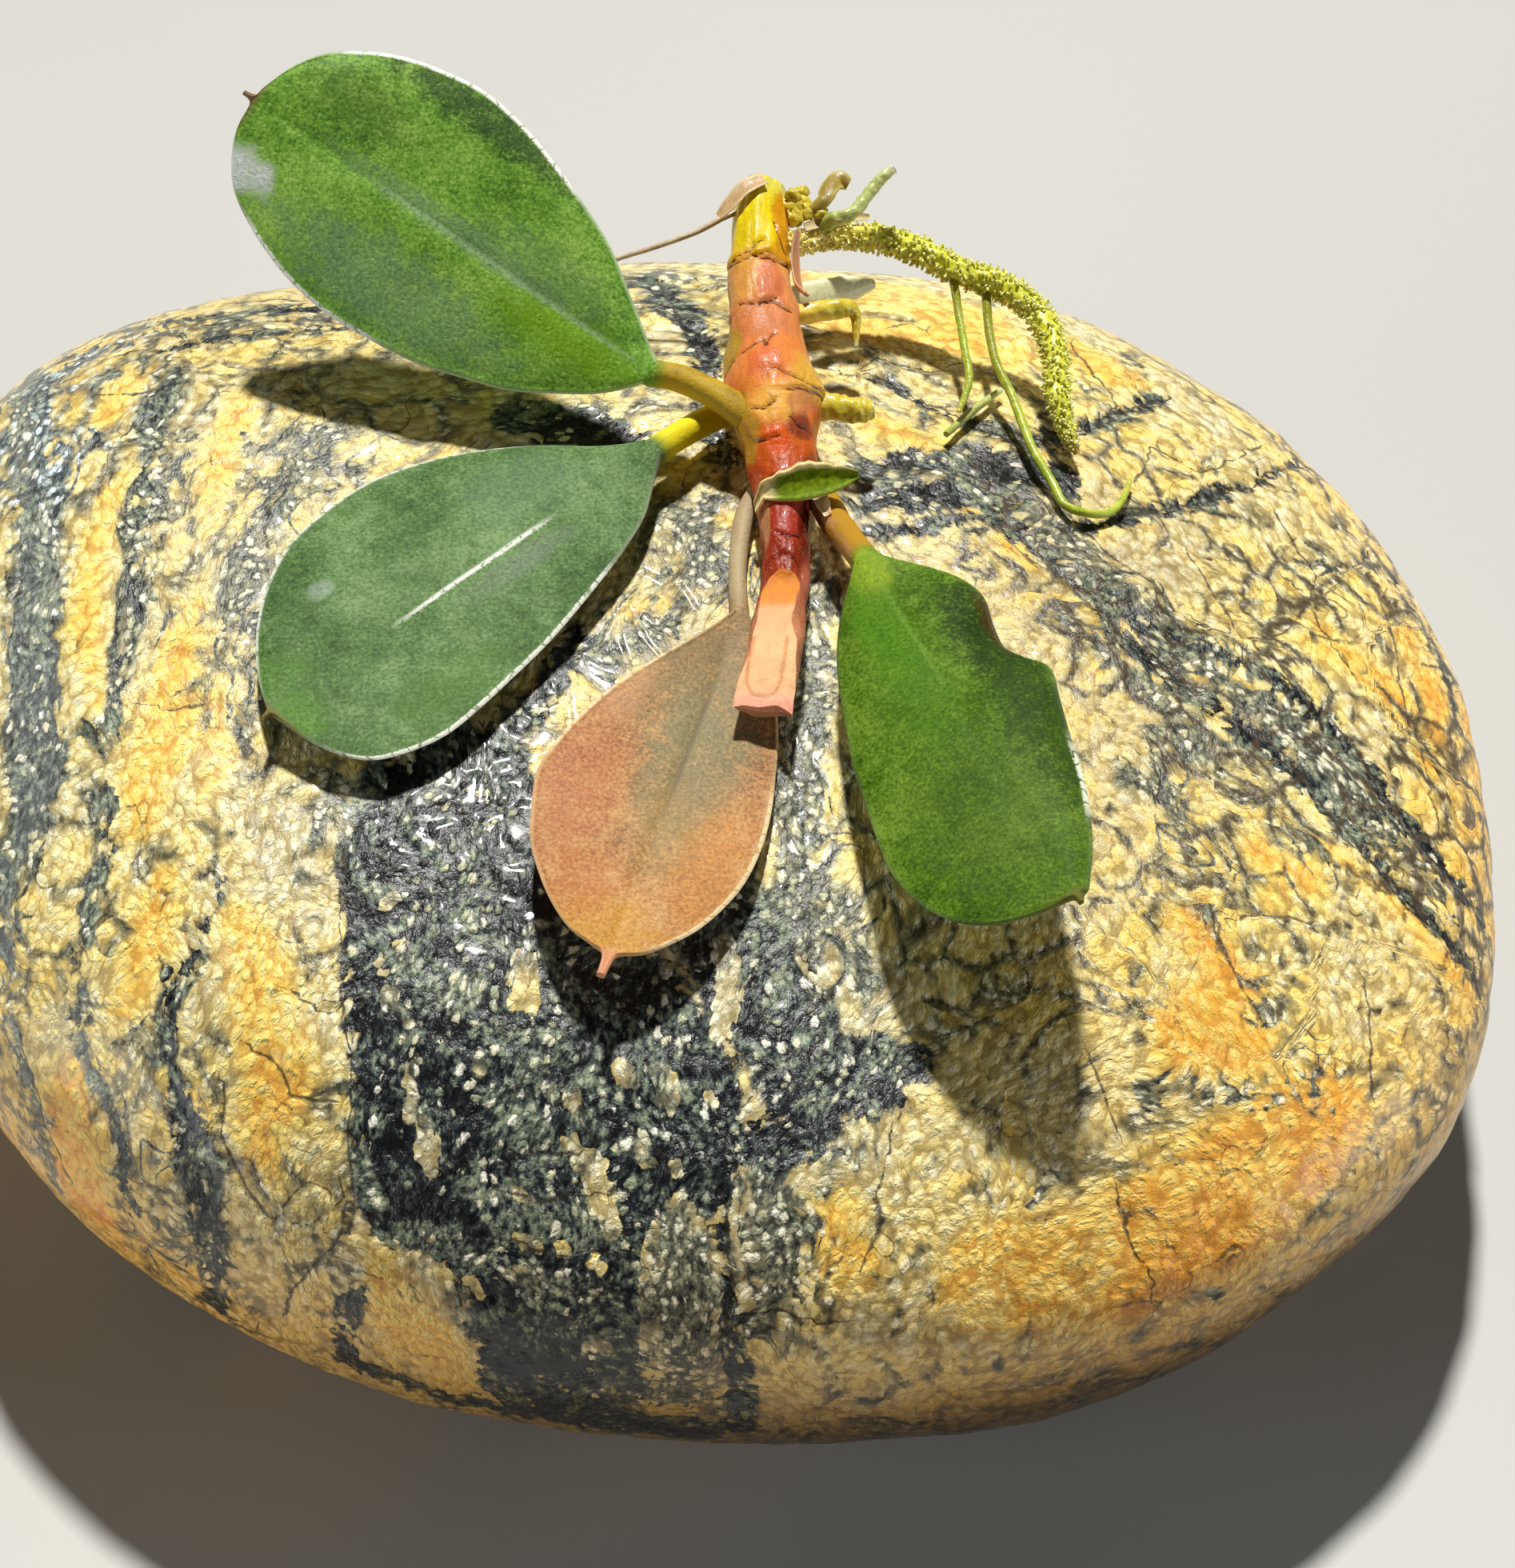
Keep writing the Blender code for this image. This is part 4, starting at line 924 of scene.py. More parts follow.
def leafFinish(name, shape):
    f = Finish(name, {"Specular IOR Level": shape["gloss"]})
    colors = shape["colors"]
    down, across, edge, onStalk, under = f.marks("alongMm acrossMm edgeMm onStalk under")
    spot = f.place()
    skin = f.clouds(spot, 4.4, 4.0, 0.65)
    broad, blotch = f.clouds(spot, 0.22), f.clouds(spot, 0.9)
    blade = f.together(across, down * 0.6, 0.0)
    flecks = f.cells(f.shifted(blade, f.clouds(spot, 1.5, 1.0, output="Color")), 2.6)
    grit, cloud = skin - 0.5, blotch - 0.5

    color = f.ramp((broad - 0.5) * 1.1 + cloud * 0.7 + grit * 1.6 + 0.5, (
        (0.05, colors["deep"]), (0.45, colors["main"]), (0.95, colors["light"])))
    for share, tint in f.patches(shape["patches"], down, across, grit * 2.0 + cloud * 2.4, 0.0, 1.8):
        color = f.blend(share, color, f.brightened(tint, skin + 0.5))
    fleck = f.fall(flecks, 0.10, 0.36) * f.rise(skin, 0.40, 0.60)
    color = f.blend(fleck * 0.4, f.brightened(color, 0.7 + skin * 0.6), colors["light"])

    start, end, strength = shape["rib"]
    ribShare = f.fall(abs(across + grit * 0.2), 0.03, 0.34 - down * 0.006) * f.rise(skin, 0.3, 0.5)
    ribShare = ribShare * f.rise(down, start - 2, start + 2) * f.fall(down, end - 3, end + 1)
    color = f.blend(ribShare * strength, color, shape["ribColor"])

    dashes = f.rise(f.math("SINE", down * 6.5 + blotch * 14), -1.05, -0.75)
    rimShare = f.fall(edge + grit * 0.3, 0.05, 0.28) * shape["rimFaint"]
    band = f.fall(edge + grit * 0.3, 0.16, 0.34) * dashes
    # the listed stretches make the margin near white: a pale margin with a painted glint along it
    for start, end, side, strength in shape["rimShows"]:
        stretch = f.rise(down, start - 1, start + 1.5) * f.fall(down, end - 1.5, end + 0.5)
        rimShare = rimShare + stretch * f.rise(across * side, 0.0, 0.4) * band * strength
    color = f.blend(rimShare, color, colors["rim"])
    color = f.blend(under * 0.5, color, colors["light"])

    stalk = f.clouds(spot, 1.2, 3.0) + f.fall(across, -0.5, 0.7) * 0.3 + f.rise(down, -5, 0) * 0.05
    color = f.blend(onStalk, color, f.ramp(stalk, ((0.35, colors["stalk"]), (0.7, colors["stalkLow"]))))
    tipStart = shape["rows"][-2][0]
    color = f.blend(f.rise(down, tipStart - 0.6, tipStart + 0.1), color, colors["mucro"])
    bump = skin * 0.6 + f.rise(flecks, 0.0, 0.5) * 0.4
    return f.show(color, 0.5 + skin * 0.2 - rimShare * 0.25, bump, 0.045)


# Rhizome
rhizomeLook = {
    "path": ((4.3, -8.8, 37.55, 1.75), (4.8, -4.8, 37.15, 1.65), (5.2, -1.2, 36.8, 1.55),
        (5.5, 2.4, 36.5, 1.42), (5.6, 6.0, 36.8, 1.55), (5.5, 9.6, 37.2, 1.9), (5.3, 13.0, 37.7, 2.35),
        (4.9, 16.4, 38.15, 2.85), (4.4, 20.4, 38.6, 2.25), (4.05, 24.6, 39.2, 1.95),
        (4.1, 28.6, 39.9, 1.85), (4.2, 32.2, 40.4, 1.45)),
    "rows": 270, "sides": 110, "length": 43.0,
    # height or depth, and width, of its marks
    "scarSize": (0.12, 0.008), "crackSize": (0.16, 0.12), "ringSize": (0.08, 0.085),
    "scars": (0.435, 0.52, 0.60, 0.765, 0.85),
    # bulges: share along, turn in degrees from the right side, spreads and height
    "bulges": ((0.55, 155, 0.035, 0.7, 0.35), (0.645, 190, 0.03, 0.7, 0.25), (0.615, 15, 0.03, 0.7, 0.30),
        (0.775, 0, 0.02, 0.6, 0.25), (0.476, 160, 0.03, 0.5, 0.2), (0.476, 20, 0.03, 0.5, 0.2),
        (0.70, 175, 0.025, 0.5, 0.25), (0.655, 95, 0.02, 0.5, 0.15), (0.80, 60, 0.02, 0.4, 0.12)),
    # cracks: share along and turn in degrees
    "cracks": (((0.842, 145), (0.852, 112), (0.862, 96), (0.872, 80)), ((0.845, 95), (0.838, 60),
        (0.842, 20)), ((0.662, 170), (0.672, 142), (0.682, 112), (0.688, 96), (0.676, 92), (0.690, 86),
        (0.702, 74)), ((0.632, 92), (0.625, 80), (0.615, 64), (0.604, 46), (0.600, 20)), ((0.905, 62),
        (0.885, 48), (0.855, 26), (0.83, 8)), ((0.545, 76), (0.53, 60), (0.52, 36)), ((0.765, 130),
        (0.76, 100), (0.768, 60)), ((0.44, 120), (0.43, 90), (0.44, 50)), ((0.57, 128), (0.56, 110),
        (0.572, 92)), ((0.335, 110), (0.325, 80), (0.332, 50)), ((0.262, 152), (0.284, 128), (0.294, 92),
        (0.282, 56), (0.258, 30))),
    # patches: share along, place across from -1 to 1, half lengths, color and strength
    "patches": ((0.91, 0.8, 0.06, 0.4, (214, 138, 10), 0.85),
        (0.985, 0.1, 0.025, 0.7, (216, 208, 84), 0.6), (0.81, -0.5, 0.045, 0.5, (220, 156, 70), 0.85),
        (0.80, 0.35, 0.045, 0.5, (196, 88, 50), 0.55), (0.73, 0.1, 0.04, 0.7, (206, 128, 84), 0.75),
        (0.70, -0.95, 0.05, 0.3, (176, 142, 34), 0.9), (0.65, -0.15, 0.03, 0.5, (212, 106, 58), 0.85),
        (0.62, 0.8, 0.05, 0.5, (216, 166, 60), 0.95), (0.572, -0.1, 0.04, 0.75, (240, 178, 76), 0.9),
        (0.57, 0.6, 0.03, 0.35, (186, 116, 80), 0.6), (0.50, -0.1, 0.03, 0.4, (216, 84, 20), 0.9),
        (0.545, -0.85, 0.06, 0.35, (172, 130, 36), 0.9), (0.53, 0.6, 0.025, 0.4, (92, 38, 34), 0.75),
        (0.36, 0.1, 0.05, 0.6, (168, 52, 36), 0.85), (0.36, 0.8, 0.07, 0.35, (96, 20, 12), 0.85),
        (0.37, -0.8, 0.07, 0.25, (192, 134, 88), 0.85), (0.45, 0.9, 0.04, 0.3, (120, 60, 40), 0.7),
        (0.05, 0.0, 0.17, 1.8, (206, 140, 100), 0.85), (0.24, 0.95, 0.06, 0.3, (186, 104, 74), 0.8)),
    # the slanting cut: y and z along it, and the ring that shows in its flesh
    "cutLine": ((-9.5, 37.35), (-8.0, 37.6), (-5.6, 38.1), (-3.0, 38.06), (-0.8, 37.85), (1.0, 37.55),
        (1.7, 37.7), (2.4, 38.6)),
    "ring": ((3.75, -3.7), (3.45, -5.4), (3.3, -7.0), (3.6, -7.8), (4.4, -8.0), (5.0, -7.7), (5.35, -6.8),
        (5.55, -5.2), (5.7, -3.7)),
    # the bark's colors from the cut end to the tip, and the flesh: pinkish at its end, orange at its start
    "bark": ((0.16, (138, 50, 22)), (0.34, (146, 42, 16)), (0.44, (168, 60, 18)), (0.52, (202, 92, 18)),
        (0.64, (226, 134, 56)), (0.72, (212, 120, 60)), (0.82, (220, 148, 92)), (0.845, (216, 150, 20)),
        (0.87, (230, 198, 6)), (0.94, (226, 204, 8)), (1.0, (226, 216, 90))),
    "flesh": ((0.0, (232, 150, 124)), (0.07, (242, 176, 142)), (0.16, (246, 190, 136)),
        (0.5, (244, 184, 132)), (0.68, (240, 172, 122)), (0.73, (226, 142, 60)), (1.0, (216, 124, 24))),
}


def makeRhizome():
    look = rhizomeLook
    ringDeep, ringWide = look["ringSize"]
    crackDeep, crackWide = look["crackSize"]
    scarHigh, scarWide = look["scarSize"]
    faces = Vector((0.0, -0.3, 1.0))
    cutEase = np.linspace(-0.7, 0.5, 7)      # rounds the corners of the cut's line

    def unrolled(t, angle, radius):
        return Vector((t * look["length"], angle * radius))

    def crackGap(t, angle, radius):
        here = unrolled(t, angle, radius)
        here += 0.18 * Vector(noise.noise_vector(Vector((t * 60, angle * 3, 0)))[:2])
        return min(lineGap(here, [unrolled(share, math.radians(turn), radius) for share, turn in line])
                   for line in look["cracks"])

    def place(t, angle):
        centre, radius, across, out = frameAt(look["path"], t, faces)
        round_ = Vector((math.cos(angle), math.sin(angle), 0.0))
        wobble = 0.014 * noise.noise(round_ * 1.6 + Vector((0, 0, t * 9)))
        ring, slit = 0.0, 0.0
        for mark in look["scars"]:
            seen = smooth(noise.noise(round_ * 1.1 + Vector((0, 0, mark * 50))), -0.25, 0.2)
            ring += seen * bell(t + wobble, mark, scarWide)
            slit += seen * bell(t + wobble, mark - 0.009, 0.0025)
        skin = 0.05 * math.sin(3 * angle + 9 * t)
        skin += 0.20 * noise.noise(round_ * 1.5 + Vector((0, 0, t * 15)))
        skin += 0.06 * noise.noise(round_ * 5 + Vector((0, 0, t * 30)))
        for where, degrees, spread, width, height in look["bulges"]:
            gap = (angle - math.radians(degrees) + math.pi) % (2 * math.pi) - math.pi
            skin += height * bell(t, where, spread) * bell(gap, 0.0, width)
        crack = crackGap(t, angle, radius) if angle < 3.3 and t > 0.25 else 9.0
        skin -= crackDeep * bell(crack, 0.0, crackWide)
        reach = radius + scarHigh * ring - 0.10 * slit + skin
        rise = math.sin(angle) * (1 if angle < math.pi else 0.4 + 0.6 * smooth(t, 0.0, 0.16))
        co = centre + (across * math.cos(angle) + out * rise) * reach
        co.y += 0.34 * noise.noise(Vector((co.x * 0.9, 0, 4))) * (1 - smooth(t, 0.0, 0.04))
        slit = max(slit, bell(crack, 0.0, 0.11))
        over, cutRing = -1.0, 0.0
        if t < 0.32:
            cutHeight = float(np.mean(np.interp(co.y + cutEase, *zip(*look["cutLine"]))))
            over = co.z - cutHeight
        if over > 0:
            cutRing, slit = bell(lineGap(co.xy, look["ring"]), 0.0, ringWide), 0.0
            co.z = cutHeight - ringDeep * cutRing + 0.07 * noise.noise(co * 1.4)
        return co, {"down": t, "sideways": math.cos(angle), "slit": slit, "cut": max(min(over, 0.5), -0.5),
                    "ring": cutRing}

    bm = rolledTube(look["rows"], look["sides"], place)
    finishPiece("rhizomeStem", bm, barkFinish(), "rhizome", "rhizome", sharp=50)


def barkFinish():
    f = Finish("moistBark", {"Coat Roughness": 0.1, "Specular IOR Level": 0.28})
    down, sideways, slit, cut, ring = f.marks("down sideways slit cut ring")
    spot = f.place()
    streaks = f.clouds(f.scaled(spot, (1.0, 0.35, 1.0)), 1.8, 4.0, 0.65)
    broad, fine = f.clouds(spot, 0.5), f.clouds(spot, 4.0, 3.0)
    grit, cloud = fine - 0.5, broad - 0.5
    color = f.ramp(down + cloud * 0.05, rhizomeLook["bark"])
    for share, tint in f.patches(rhizomeLook["patches"], down, sideways,
                                 (streaks - 0.5) * 1.8 + cloud * 1.6, 0.25, 1.3):
        color = f.blend(share, color, tint)
    color = f.brightened(color, 0.62 + streaks * 0.8)
    color = f.blend(f.rise(fine, 0.6, 0.76) * 0.25, color, (244, 206, 130))
    color = f.blend(f.rise(slit + grit * 0.5, 0.35, 0.8) * 0.8, color, (78, 28, 14))

    # the flesh of the cut, with a thin ring
    _, y, _ = f.parts(spot)
    ends = {"Value": y + grit * 0.7, "From Min": -9.0, "From Max": 2.4}
    flesh = f.ramp(f.add("ShaderNodeMapRange", sockets=ends), rhizomeLook["flesh"])
    flesh = f.blend(ring * 0.7, f.brightened(flesh, 0.72 + streaks * 0.56), (196, 130, 76))
    share = f.rise(cut + grit * 0.05, -0.005, 0.025)
    f.feed(f.shader.inputs["Coat Weight"], (1 - share) * 0.12)
    return f.show(f.blend(share, color, flesh), 0.28 + streaks * 0.24 + share * 0.25,
                  streaks * 0.6 + fine * 0.4, 0.12)


# Roots and other round pieces: rows, sides and roughness, then x, y, z and radius along each
roots = {
    "root_long": dict(
        finish="greenRoot", rows=150, sides=18, rough=0.10,
        path=((18.4, 27.6, 36.3, 0.32), (18.5, 25.3, 35.5, 0.3), (18.9, 22.6, 34.8, 0.3),
            (19.9, 20.0, 34.2, 0.3), (21.0, 16.3, 33.5, 0.3), (22.2, 13.7, 33.0, 0.3),
            (22.9, 12.0, 32.85, 0.29), (24.3, 11.6, 32.5, 0.27), (25.7, 12.1, 32.0, 0.25),
            (26.6, 13.5, 31.7, 0.23), (27.2, 15.5, 31.4, 0.17))),
    "root_short": dict(
        finish="greenRoot", rows=90, sides=18, rough=0.12,
        path=((16.3, 28.2, 36.8, 0.3), (16.6, 26.0, 36.0, 0.28), (16.9, 23.6, 35.4, 0.27),
            (17.2, 21.1, 34.8, 0.26), (16.9, 19.8, 34.4, 0.23), (16.5, 18.8, 34.1, 0.17))),
    "root_pale": dict(
        finish="paleRoot", rows=60, sides=14, rough=0.12,
        path=((15.7, 17.3, 33.6, 0.22), (17.3, 19.7, 33.1, 0.28), (19.3, 22.3, 32.5, 0.2))),
    "root_bare": dict(
        finish="paleRoot", rows=90, sides=24, rough=0.2,
        path=((8.3, 29.3, 40.1, 0.5), (8.6, 29.1, 40.8, 0.5), (9.2, 28.8, 41.2, 0.5),
            (10.1, 29.2, 41.5, 0.45), (11.0, 30.4, 41.9, 0.42), (11.7, 31.2, 42.3, 0.4),
            (12.5, 31.8, 42.6, 0.34))),
    "fibre_left": dict(
        finish="dryFibre", rows=90, sides=12, rough=0.08,
        path=((3.6, 30.4, 40.6, 0.2), (2.0, 29.7, 40.5, 0.2), (0.1, 28.6, 40.2, 0.2),
            (-2.4, 27.9, 39.6, 0.18), (-4.7, 27.5, 39.0, 0.17), (-6.7, 27.1, 38.3, 0.16),
            (-8.5, 26.8, 37.5, 0.14))),
    "stub_upper": dict(
        finish="oliveStub", rows=80, sides=28, rough=0.14,
        path=((5.0, 22.3, 38.7, 0.75), (6.8, 22.9, 38.6, 0.7), (8.4, 23.4, 38.45, 0.68),
            (9.5, 23.7, 38.3, 0.62), (10.05, 23.5, 37.9, 0.4), (10.1, 22.7, 37.3, 0.25),
            (10.1, 21.9, 36.8, 0.14))),
    "stub_lower": dict(
        finish="oliveStub", rows=80, sides=32, rough=0.16,
        path=((5.6, 15.7, 38.2, 1.05), (7.8, 15.4, 38.1, 0.95), (9.4, 15.1, 38.05, 0.85),
            (10.5, 15.05, 38.0, 0.8), (11.1, 15.1, 38.0, 0.5))),
    "side_knob": dict(
        finish="oliveStub", rows=60, sides=28, rough=0.14,
        path=((4.9, 30.6, 40.2, 0.7), (6.1, 30.7, 40.3, 0.95), (6.9, 30.8, 40.4, 0.8),
            (7.3, 30.95, 40.45, 0.5)),
        buds=((7.2, 30.1, 40.5, 0.62), (7.9, 29.9, 40.6, 0.5), (6.3, 29.8, 40.3, 0.6),
            (6.2, 30.9, 41.1, 0.55), (6.8, 31.4, 41.0, 0.42))),
    "root_hairy": dict(
        finish="hairyRoot", rows=200, sides=36, rough=0.22,
        path=((4.8, 28.1, 39.6, 0.95), (6.6, 28.6, 39.3, 0.95), (8.6, 29.6, 38.9, 1.05),
            (11.4, 30.0, 38.4, 1.15), (14.2, 29.5, 37.7, 1.15), (16.8, 28.3, 37.0, 1.15),
            (19.5, 27.6, 36.4, 1.15), (21.5, 26.0, 35.8, 1.15), (22.6, 23.1, 35.3, 1.1),
            (22.7, 19.8, 34.5, 1.0), (23.3, 17.6, 33.4, 0.7), (23.9, 16.6, 32.6, 0.3))),
}
hairLook = {"core": 0.72, "hairs": 1700, "radius": 0.105}     # core is the share that the root itself fills
rootUp = Vector((0.0, -0.5, 1.0))
rootLooks = {
    "hairyRoot": dict(slot="root", rough=0.27, start=(255, 226, 136), low=(208, 208, 16),
        high=(244, 242, 86), tip=(230, 176, 70)),
    "greenRoot": dict(slot="root", rough=0.27, start=(150, 142, 30), low=(144, 172, 20),
        high=(206, 216, 74), tip=(206, 200, 80)),
    "paleRoot": dict(slot="pale_root", rough=0.42, start=(148, 164, 58), low=(168, 180, 80),
        high=(206, 212, 130), tip=(230, 230, 196)),
    "dryFibre": dict(slot="pale_root", rough=0.47, start=(176, 140, 104), low=(186, 158, 126),
        high=(222, 200, 170), tip=(226, 212, 190)),
    "oliveStub": dict(slot="stub", rough=0.28, start=(240, 196, 70), low=(200, 176, 20),
        high=(236, 216, 74), tip=(232, 232, 170)),
}


def addBuds(bm, buds):
    # small rough lumps that grow on a piece
    down = bm.verts.layers.float["down"]
    for x, y, z, radius in buds:
        made = bmesh.ops.create_icosphere(bm, subdivisions=3, radius=radius)["verts"]
        for vert in made:
            vert.co *= 1 + 0.5 * noise.noise(vert.co * 3.0 + Vector((x, y, z)))
            vert[down] = 0.4
        bmesh.ops.translate(bm, verts=made, vec=(x, y, z))


def rootTube(shape, swell=1.0):
    def place(t, angle):
        centre, radius, across, out = frameAt(shape["path"], t, rootUp)
        length = t * len(shape["path"])
        lumps = noise.noise(Vector((math.cos(angle), math.sin(angle), length * 2.2)) * 1.4) - 0.3
        reach = radius * swell * (1 + shape["rough"] * lumps)
        return centre + (across * math.cos(angle) + out * math.sin(angle)) * reach, {"down": t, "tip": 0.0}

    return rolledTube(shape["rows"], shape["sides"], place)


def rootFinish(name):
    look = rootLooks[name]
    f = Finish(name, {"Coat Weight": 0.35, "Coat Roughness": 0.15})
    spot = f.place()
    down, tip = f.marks("down tip")
    mottle, fine = f.clouds(spot, 1.7, 4.0, 0.65), f.clouds(spot, 6.0)
    ragged = down + (mottle - 0.5) * 0.1
    color = f.ramp(mottle, ((0.32, look["low"]), (0.66, look["high"])))
    color = f.blend(f.rise(ragged, 0.9, 1.0), color, look["tip"])
    color = f.blend(f.fall(ragged, 0.08, 0.36) * 0.8, color, look["start"])
    color = f.blend(f.rise(fine, 0.58, 0.72) * 0.35, color, (236, 236, 196))
    color = f.blend(tip * 0.85, color, (238, 238, 150))
    return f.show(color, look["rough"] + fine * 0.2, (mottle + fine) * 0.5, 0.06)


def makeRoots():
    finishes = {name: rootFinish(name) for name in rootLooks}
    for node, shape in roots.items():
        finish = shape["finish"]
        if node == "root_hairy":
            bm = rootTube(shape, hairLook["core"])
            addHairs(bm, shape["path"])
        else:
            bm = rootTube(shape)
            addBuds(bm, shape.get("buds", ()))
        finishPiece(camel(node), bm, finishes[finish], rootLooks[finish]["slot"], node)


def addHairs(bm, path):
    # short tapered hairs all round a root, from a little under its skin
    core = hairLook["core"] * 0.9
    hair, tufts = bmesh.new(), bmesh.new()
    bmesh.ops.create_cone(hair, cap_ends=True, segments=6, radius1=1.0, radius2=0.75, depth=1.0)
    bmesh.ops.translate(hair, verts=hair.verts, vec=(0, 0, 0.5))
    hairMesh = meshOf("hair", hair)
    base = np.array([vert.co for vert in hairMesh.vertices])
    down, tip = (tufts.verts.layers.float.new(mark) for mark in ("down", "tip"))
    points = []
    for i in range(hairLook["hairs"]):
        t = 0.03 + 0.94 * (i + random.random()) / hairLook["hairs"]
        angle = random.uniform(0, 2 * math.pi)
        centre, radius, across, out = frameAt(path, t, rootUp)
        outward = across * math.cos(angle) + out * math.sin(angle)
        lean = Vector([random.uniform(-0.7, 0.7) for _ in range(3)])
        turn = np.array((outward + lean).normalized().to_track_quat('Z', 'Y').to_matrix())
        reach = radius * (1 - core) * random.uniform(0.45, 1.0)
        thin = hairLook["radius"] * random.uniform(0.7, 1.3)
        foot = np.array(centre + outward * radius * core)
        made = (base * (thin, thin, reach)) @ turn.T + foot
        points += [(point, t, end) for point, end in zip(made, base[:, 2])]
        tufts.from_mesh(hairMesh)
    for vert, (point, share, end) in zip(tufts.verts, points):
        vert.co, vert[down], vert[tip] = point, share, end
    tuftMesh = meshOf("tufts", tufts)
    bm.from_mesh(tuftMesh)
    for mesh in (hairMesh, tuftMesh):
        bpy.data.meshes.remove(mesh)


# Scales: x, y, z and half width along each, the way its flat side faces, thickness and curl
scales = {
    "scale_tip": dict(
        thick=0.2, curl=0.12, colors=((200, 162, 110), (230, 204, 158)),
        path=((4.35, 31.2, 42.25, 0.45), (3.2, 30.5, 42.2, 0.6), (2.2, 29.5, 41.7, 0.55),
            (1.55, 28.9, 41.2, 0.3)),
        faces=(-0.6, -0.4, 0.7)),
    "scale_curled": dict(
        thick=0.2, curl=-0.16, colors=((156, 132, 44), (210, 190, 106)),
        path=((7.4, 29.9, 40.9, 0.4), (8.1, 30.3, 41.35, 0.5), (8.5, 31.4, 41.45, 0.65),
            (9.1, 32.2, 41.3, 0.65), (9.7, 32.0, 41.1, 0.4)),
        faces=(-0.3, -0.5, 0.8)),
    "scale_side": dict(
        thick=0.2, curl=0.12, colors=((190, 128, 84), (232, 184, 140)),
        path=((6.4, 27.9, 40.95, 0.25), (6.25, 26.4, 40.0, 0.42), (6.45, 24.6, 39.5, 0.42),
            (7.0, 23.3, 39.85, 0.22)),
        faces=(0.8, -0.2, 0.6)),
    "scale_under_root": dict(
        thick=0.22, curl=-0.2, colors=((216, 216, 168), (252, 246, 204)),
        path=((5.9, 25.0, 38.0, 0.6), (7.8, 25.9, 37.5, 0.9), (9.8, 26.9, 37.0, 0.8),
            (11.3, 27.8, 36.5, 0.35)),
        faces=(0.05, -0.64, 0.77)),
    "stalkSheath": dict(
        thick=0.16, curl=0.14, colors=((216, 180, 130), (240, 216, 172)),
        path=((6.3, 10.0, 38.0, 0.3), (7.0, 9.0, 38.1, 0.5), (7.7, 7.6, 38.2, 0.5),
            (8.2, 6.0, 38.2, 0.25)),
        faces=(-0.35, -0.3, 0.9)),
    "rootScale": dict(
        thick=0.14, curl=0.1, colors=((230, 206, 150), (250, 238, 200)),
        path=((6.9, 28.9, 40.35, 0.3), (8.2, 29.6, 40.25, 0.4), (9.6, 30.2, 40.0, 0.35),
            (11.0, 30.5, 39.7, 0.2)),
        faces=(0.0, -0.6, 0.8)),
}


def makeScale(node, shape):
    name = camel(node)
    faces = Vector(shape["faces"])

    def place(t, angle):
        centre, halfWidth, across, out = frameAt(shape["path"], t, faces)
        side = math.cos(angle)
        lift = (1 - side ** 4) ** 0.5 * shape["thick"] / 2 * (1 if math.sin(angle) >= 0 else -1)
        bend = shape["curl"] * (side ** 2 - 0.4)
        ragged = 1 + 0.12 * noise.noise(centre * 2.3 + Vector((side, 0, 0)))
        co = centre + across * side * halfWidth * ragged + out * (lift + bend)
        return co, {"down": t, "edge": 1 - abs(side)}

    f = Finish(name, {"Coat Weight": 0.2})
    edge, = f.marks("edge")
    streaks = f.clouds(f.scaled(f.place(), (1.0, 0.4, 1.0)), 3.0, 4.0, 0.65)
    share = f.fall(edge + (streaks - 0.5) * 0.5, 0.1, 0.45) * 0.8 + f.rise(streaks, 0.5, 0.7) * 0.3
    color = f.brightened(f.blend(share, *shape["colors"]), 0.75 + streaks * 0.5)
    material = f.show(color, 0.35 + streaks * 0.2, streaks, 0.06)
    nodes = [node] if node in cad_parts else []
    finishPiece(name, rolledTube(48, 28, place), material, "scale", *nodes)


# Young leaf: a small cupped blade with a thick pale rim
youngLeaf = dict(
    stalk=(3.75, 6.9, 37.9), stalkShare=0.15, stalkWide=0.35,
    base=(4.2, 7.5, 38.8), tip=(10.2, 8.3, 39.4), faces=(0.0, -0.64, 0.77), arch=0.55, rimThick=0.24, cup=0.3,
    rows=((0, 0.55, 0.45), (0.8, 0.8, 0.7), (1.8, 1.0, 1.0), (3.0, 1.05, 1.1), (4.2, 0.9, 0.85),
        (5.2, 0.55, 0.5), (5.9, 0.2, 0.2)))


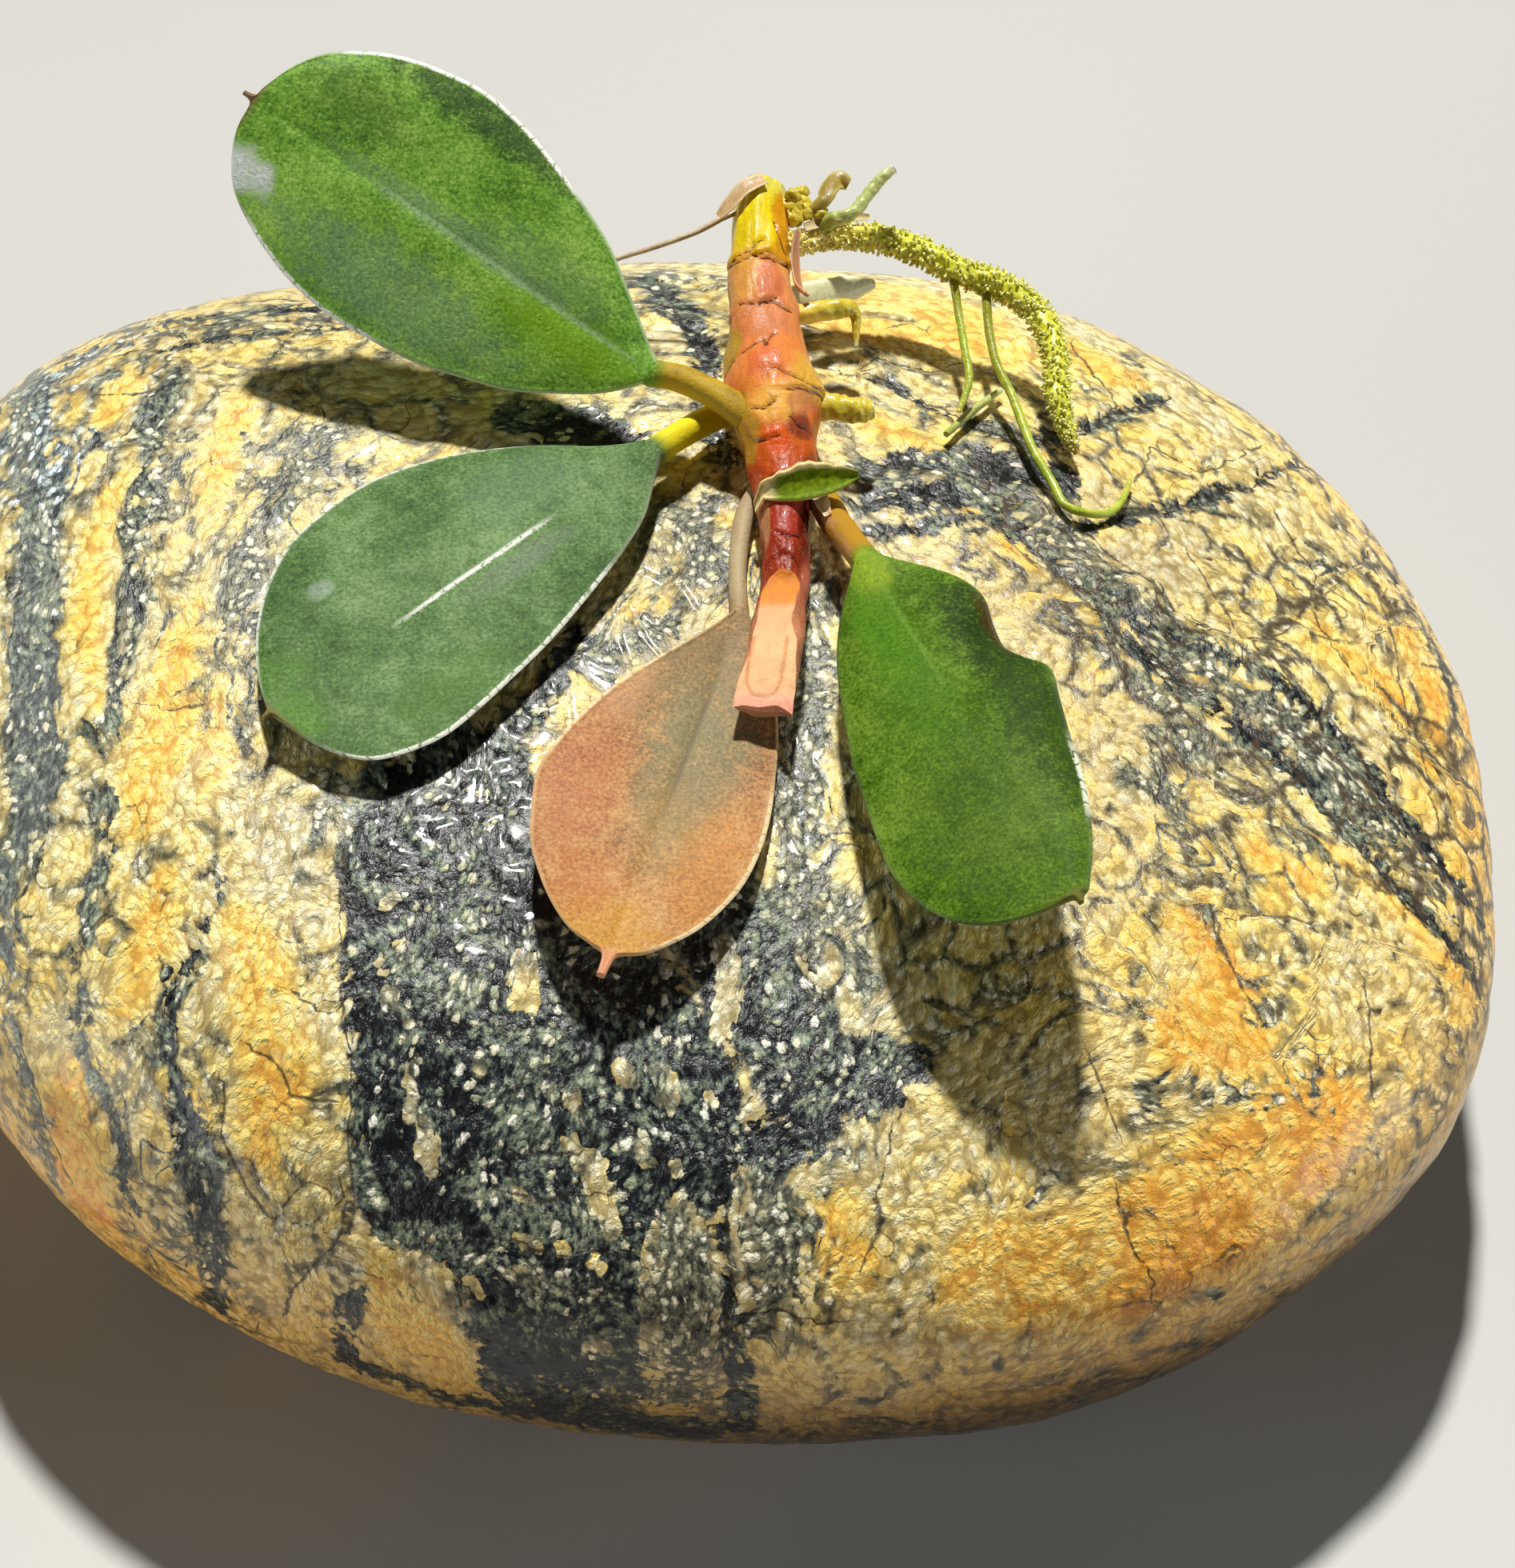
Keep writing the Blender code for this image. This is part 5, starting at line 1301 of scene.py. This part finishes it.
def makeYoungLeaf():
    base, run, normal, right = leafShape(youngLeaf)
    length = youngLeaf["rows"][-1][0]
    stalk = Vector(youngLeaf["stalk"])
    stalkShare, stalkWide = youngLeaf["stalkShare"], youngLeaf["stalkWide"]

    def place(t, angle):
        share = max((t - stalkShare) / (1 - stalkShare), 0.0)
        distance, halfRight, halfLeft = along(youngLeaf["rows"], share)
        side = math.cos(angle)
        width = halfRight if side > 0 else halfLeft
        part = distance / length
        centre = base + run * distance + normal * youngLeaf["arch"] * math.sin(math.pi * part)
        if t < stalkShare:
            centre = stalk.lerp(base, t / stalkShare)
            width = stalkWide + (width - stalkWide) * t / stalkShare
        upper = smooth(-side, 0.2, 0.8)
        lumps = noise.noise(centre * 1.9 + Vector((0, side, 0)))
        width *= 1 + (0.12 + 0.16 * lumps) * upper
        thick = youngLeaf["rimThick"] * smooth(abs(side), 0.55, 0.9) * (0.6 + (0.5 + 0.7 * lumps) * upper)
        lift = (1 - side ** 6) ** 0.5 * (0.09 + thick) * (1 if math.sin(angle) >= 0 else -1)
        cup = (1 - 0.9 * upper) * (side ** 2 - 0.5) * math.sin(math.pi * min(max(part, 0.1), 0.9))
        co = centre + right * side * width + normal * (lift + youngLeaf["cup"] * cup)
        return co, {"edge": 1 - abs(side), "down": part, "lower": side}

    f = Finish("youngLeaf", {"Specular IOR Level": 0.15})
    edge, down, lower = f.marks("edge down lower")
    skin = f.clouds(f.place(), 3.0, 4.0, 0.65)
    green = f.ramp(skin, ((0.3, (66, 98, 0)), (0.7, (140, 160, 8))))
    cream = f.ramp(skin, ((0.3, (226, 198, 110)), (0.6, (246, 230, 172))))
    rim = f.fall(edge + (skin - 0.5) * 0.2 + f.rise(lower, -0.3, 0.3) * 0.3, 0.24, 0.42)
    rim = rim * (f.fall(down, 0.55, 0.95) * 0.5 + 0.5)
    start = f.fall(down, 0.02, 0.2)
    material = f.show(f.blend(rim + start - rim * start, green, cream), 0.5 + skin * 0.2, skin, 0.05)
    finishPiece("youngLeaf", rolledTube(72, 56, place), material, "young_leaf", "young_leaf")


# Floor, light and world
studio = {
    "floorSize": 4.0, "floorColors": ((186, 186, 182), (192, 192, 188)),
    "keyPower": 4.3, "keySoftness": 4.0, "keyTilt": -30, "keyColor": (1.0, 0.98, 0.94),
    "fills": ((1.25, (-0.62, -0.24, 0.15)), (1.2, (0.64, -0.14, 0.15))), "fillSize": 0.3,
    "skyColor": (246, 244, 238), "skyPower": 0.03, "viewTransform": 'Standard',
}


def makeStudio():
    bm = bmesh.new()
    bmesh.ops.create_grid(bm, x_segments=2, y_segments=2, size=studio["floorSize"])
    mesh = meshOf("floor", bm)
    f = Finish("paleFloor", {})
    first, second = studio["floorColors"]
    mesh.materials.append(f.show(f.ramp(f.clouds(f.place(), 0.004), ((0.3, first), (0.7, second))), 0.6))
    floor = placed("floor", mesh)

    key = bpy.data.lights.new("key", 'SUN')
    key.energy, key.color = studio["keyPower"], studio["keyColor"]
    key.angle = math.radians(studio["keySoftness"])
    placed("key", key, turn=(math.radians(studio["keyTilt"]), 0, 0))
    for power, spot in studio["fills"]:
        fill = bpy.data.lights.new("fill", 'AREA')
        fill.energy, fill.size = power, studio["fillSize"]
        placed("fill", fill, spot, (-Vector(spot)).to_track_quat('-Z', 'Y').to_euler())

    world = bpy.data.worlds.new("studio")
    world.use_nodes = True
    sky = world.node_tree.nodes["Background"]
    sky.inputs["Color"].default_value = linear(studio["skyColor"])
    sky.inputs["Strength"].default_value = studio["skyPower"]
    bpy.context.scene.world = world
    bpy.context.scene.view_settings.view_transform = studio["viewTransform"]


makeCamera()
makeStudio()
print("camera and studio ready")
makeStone()
for node, shape in leaves.items():
    makeLeaf(node, shape)
makeRhizome()
makeRoots()
for node, shape in scales.items():
    makeScale(node, shape)
makeYoungLeaf()

print("all pieces made")
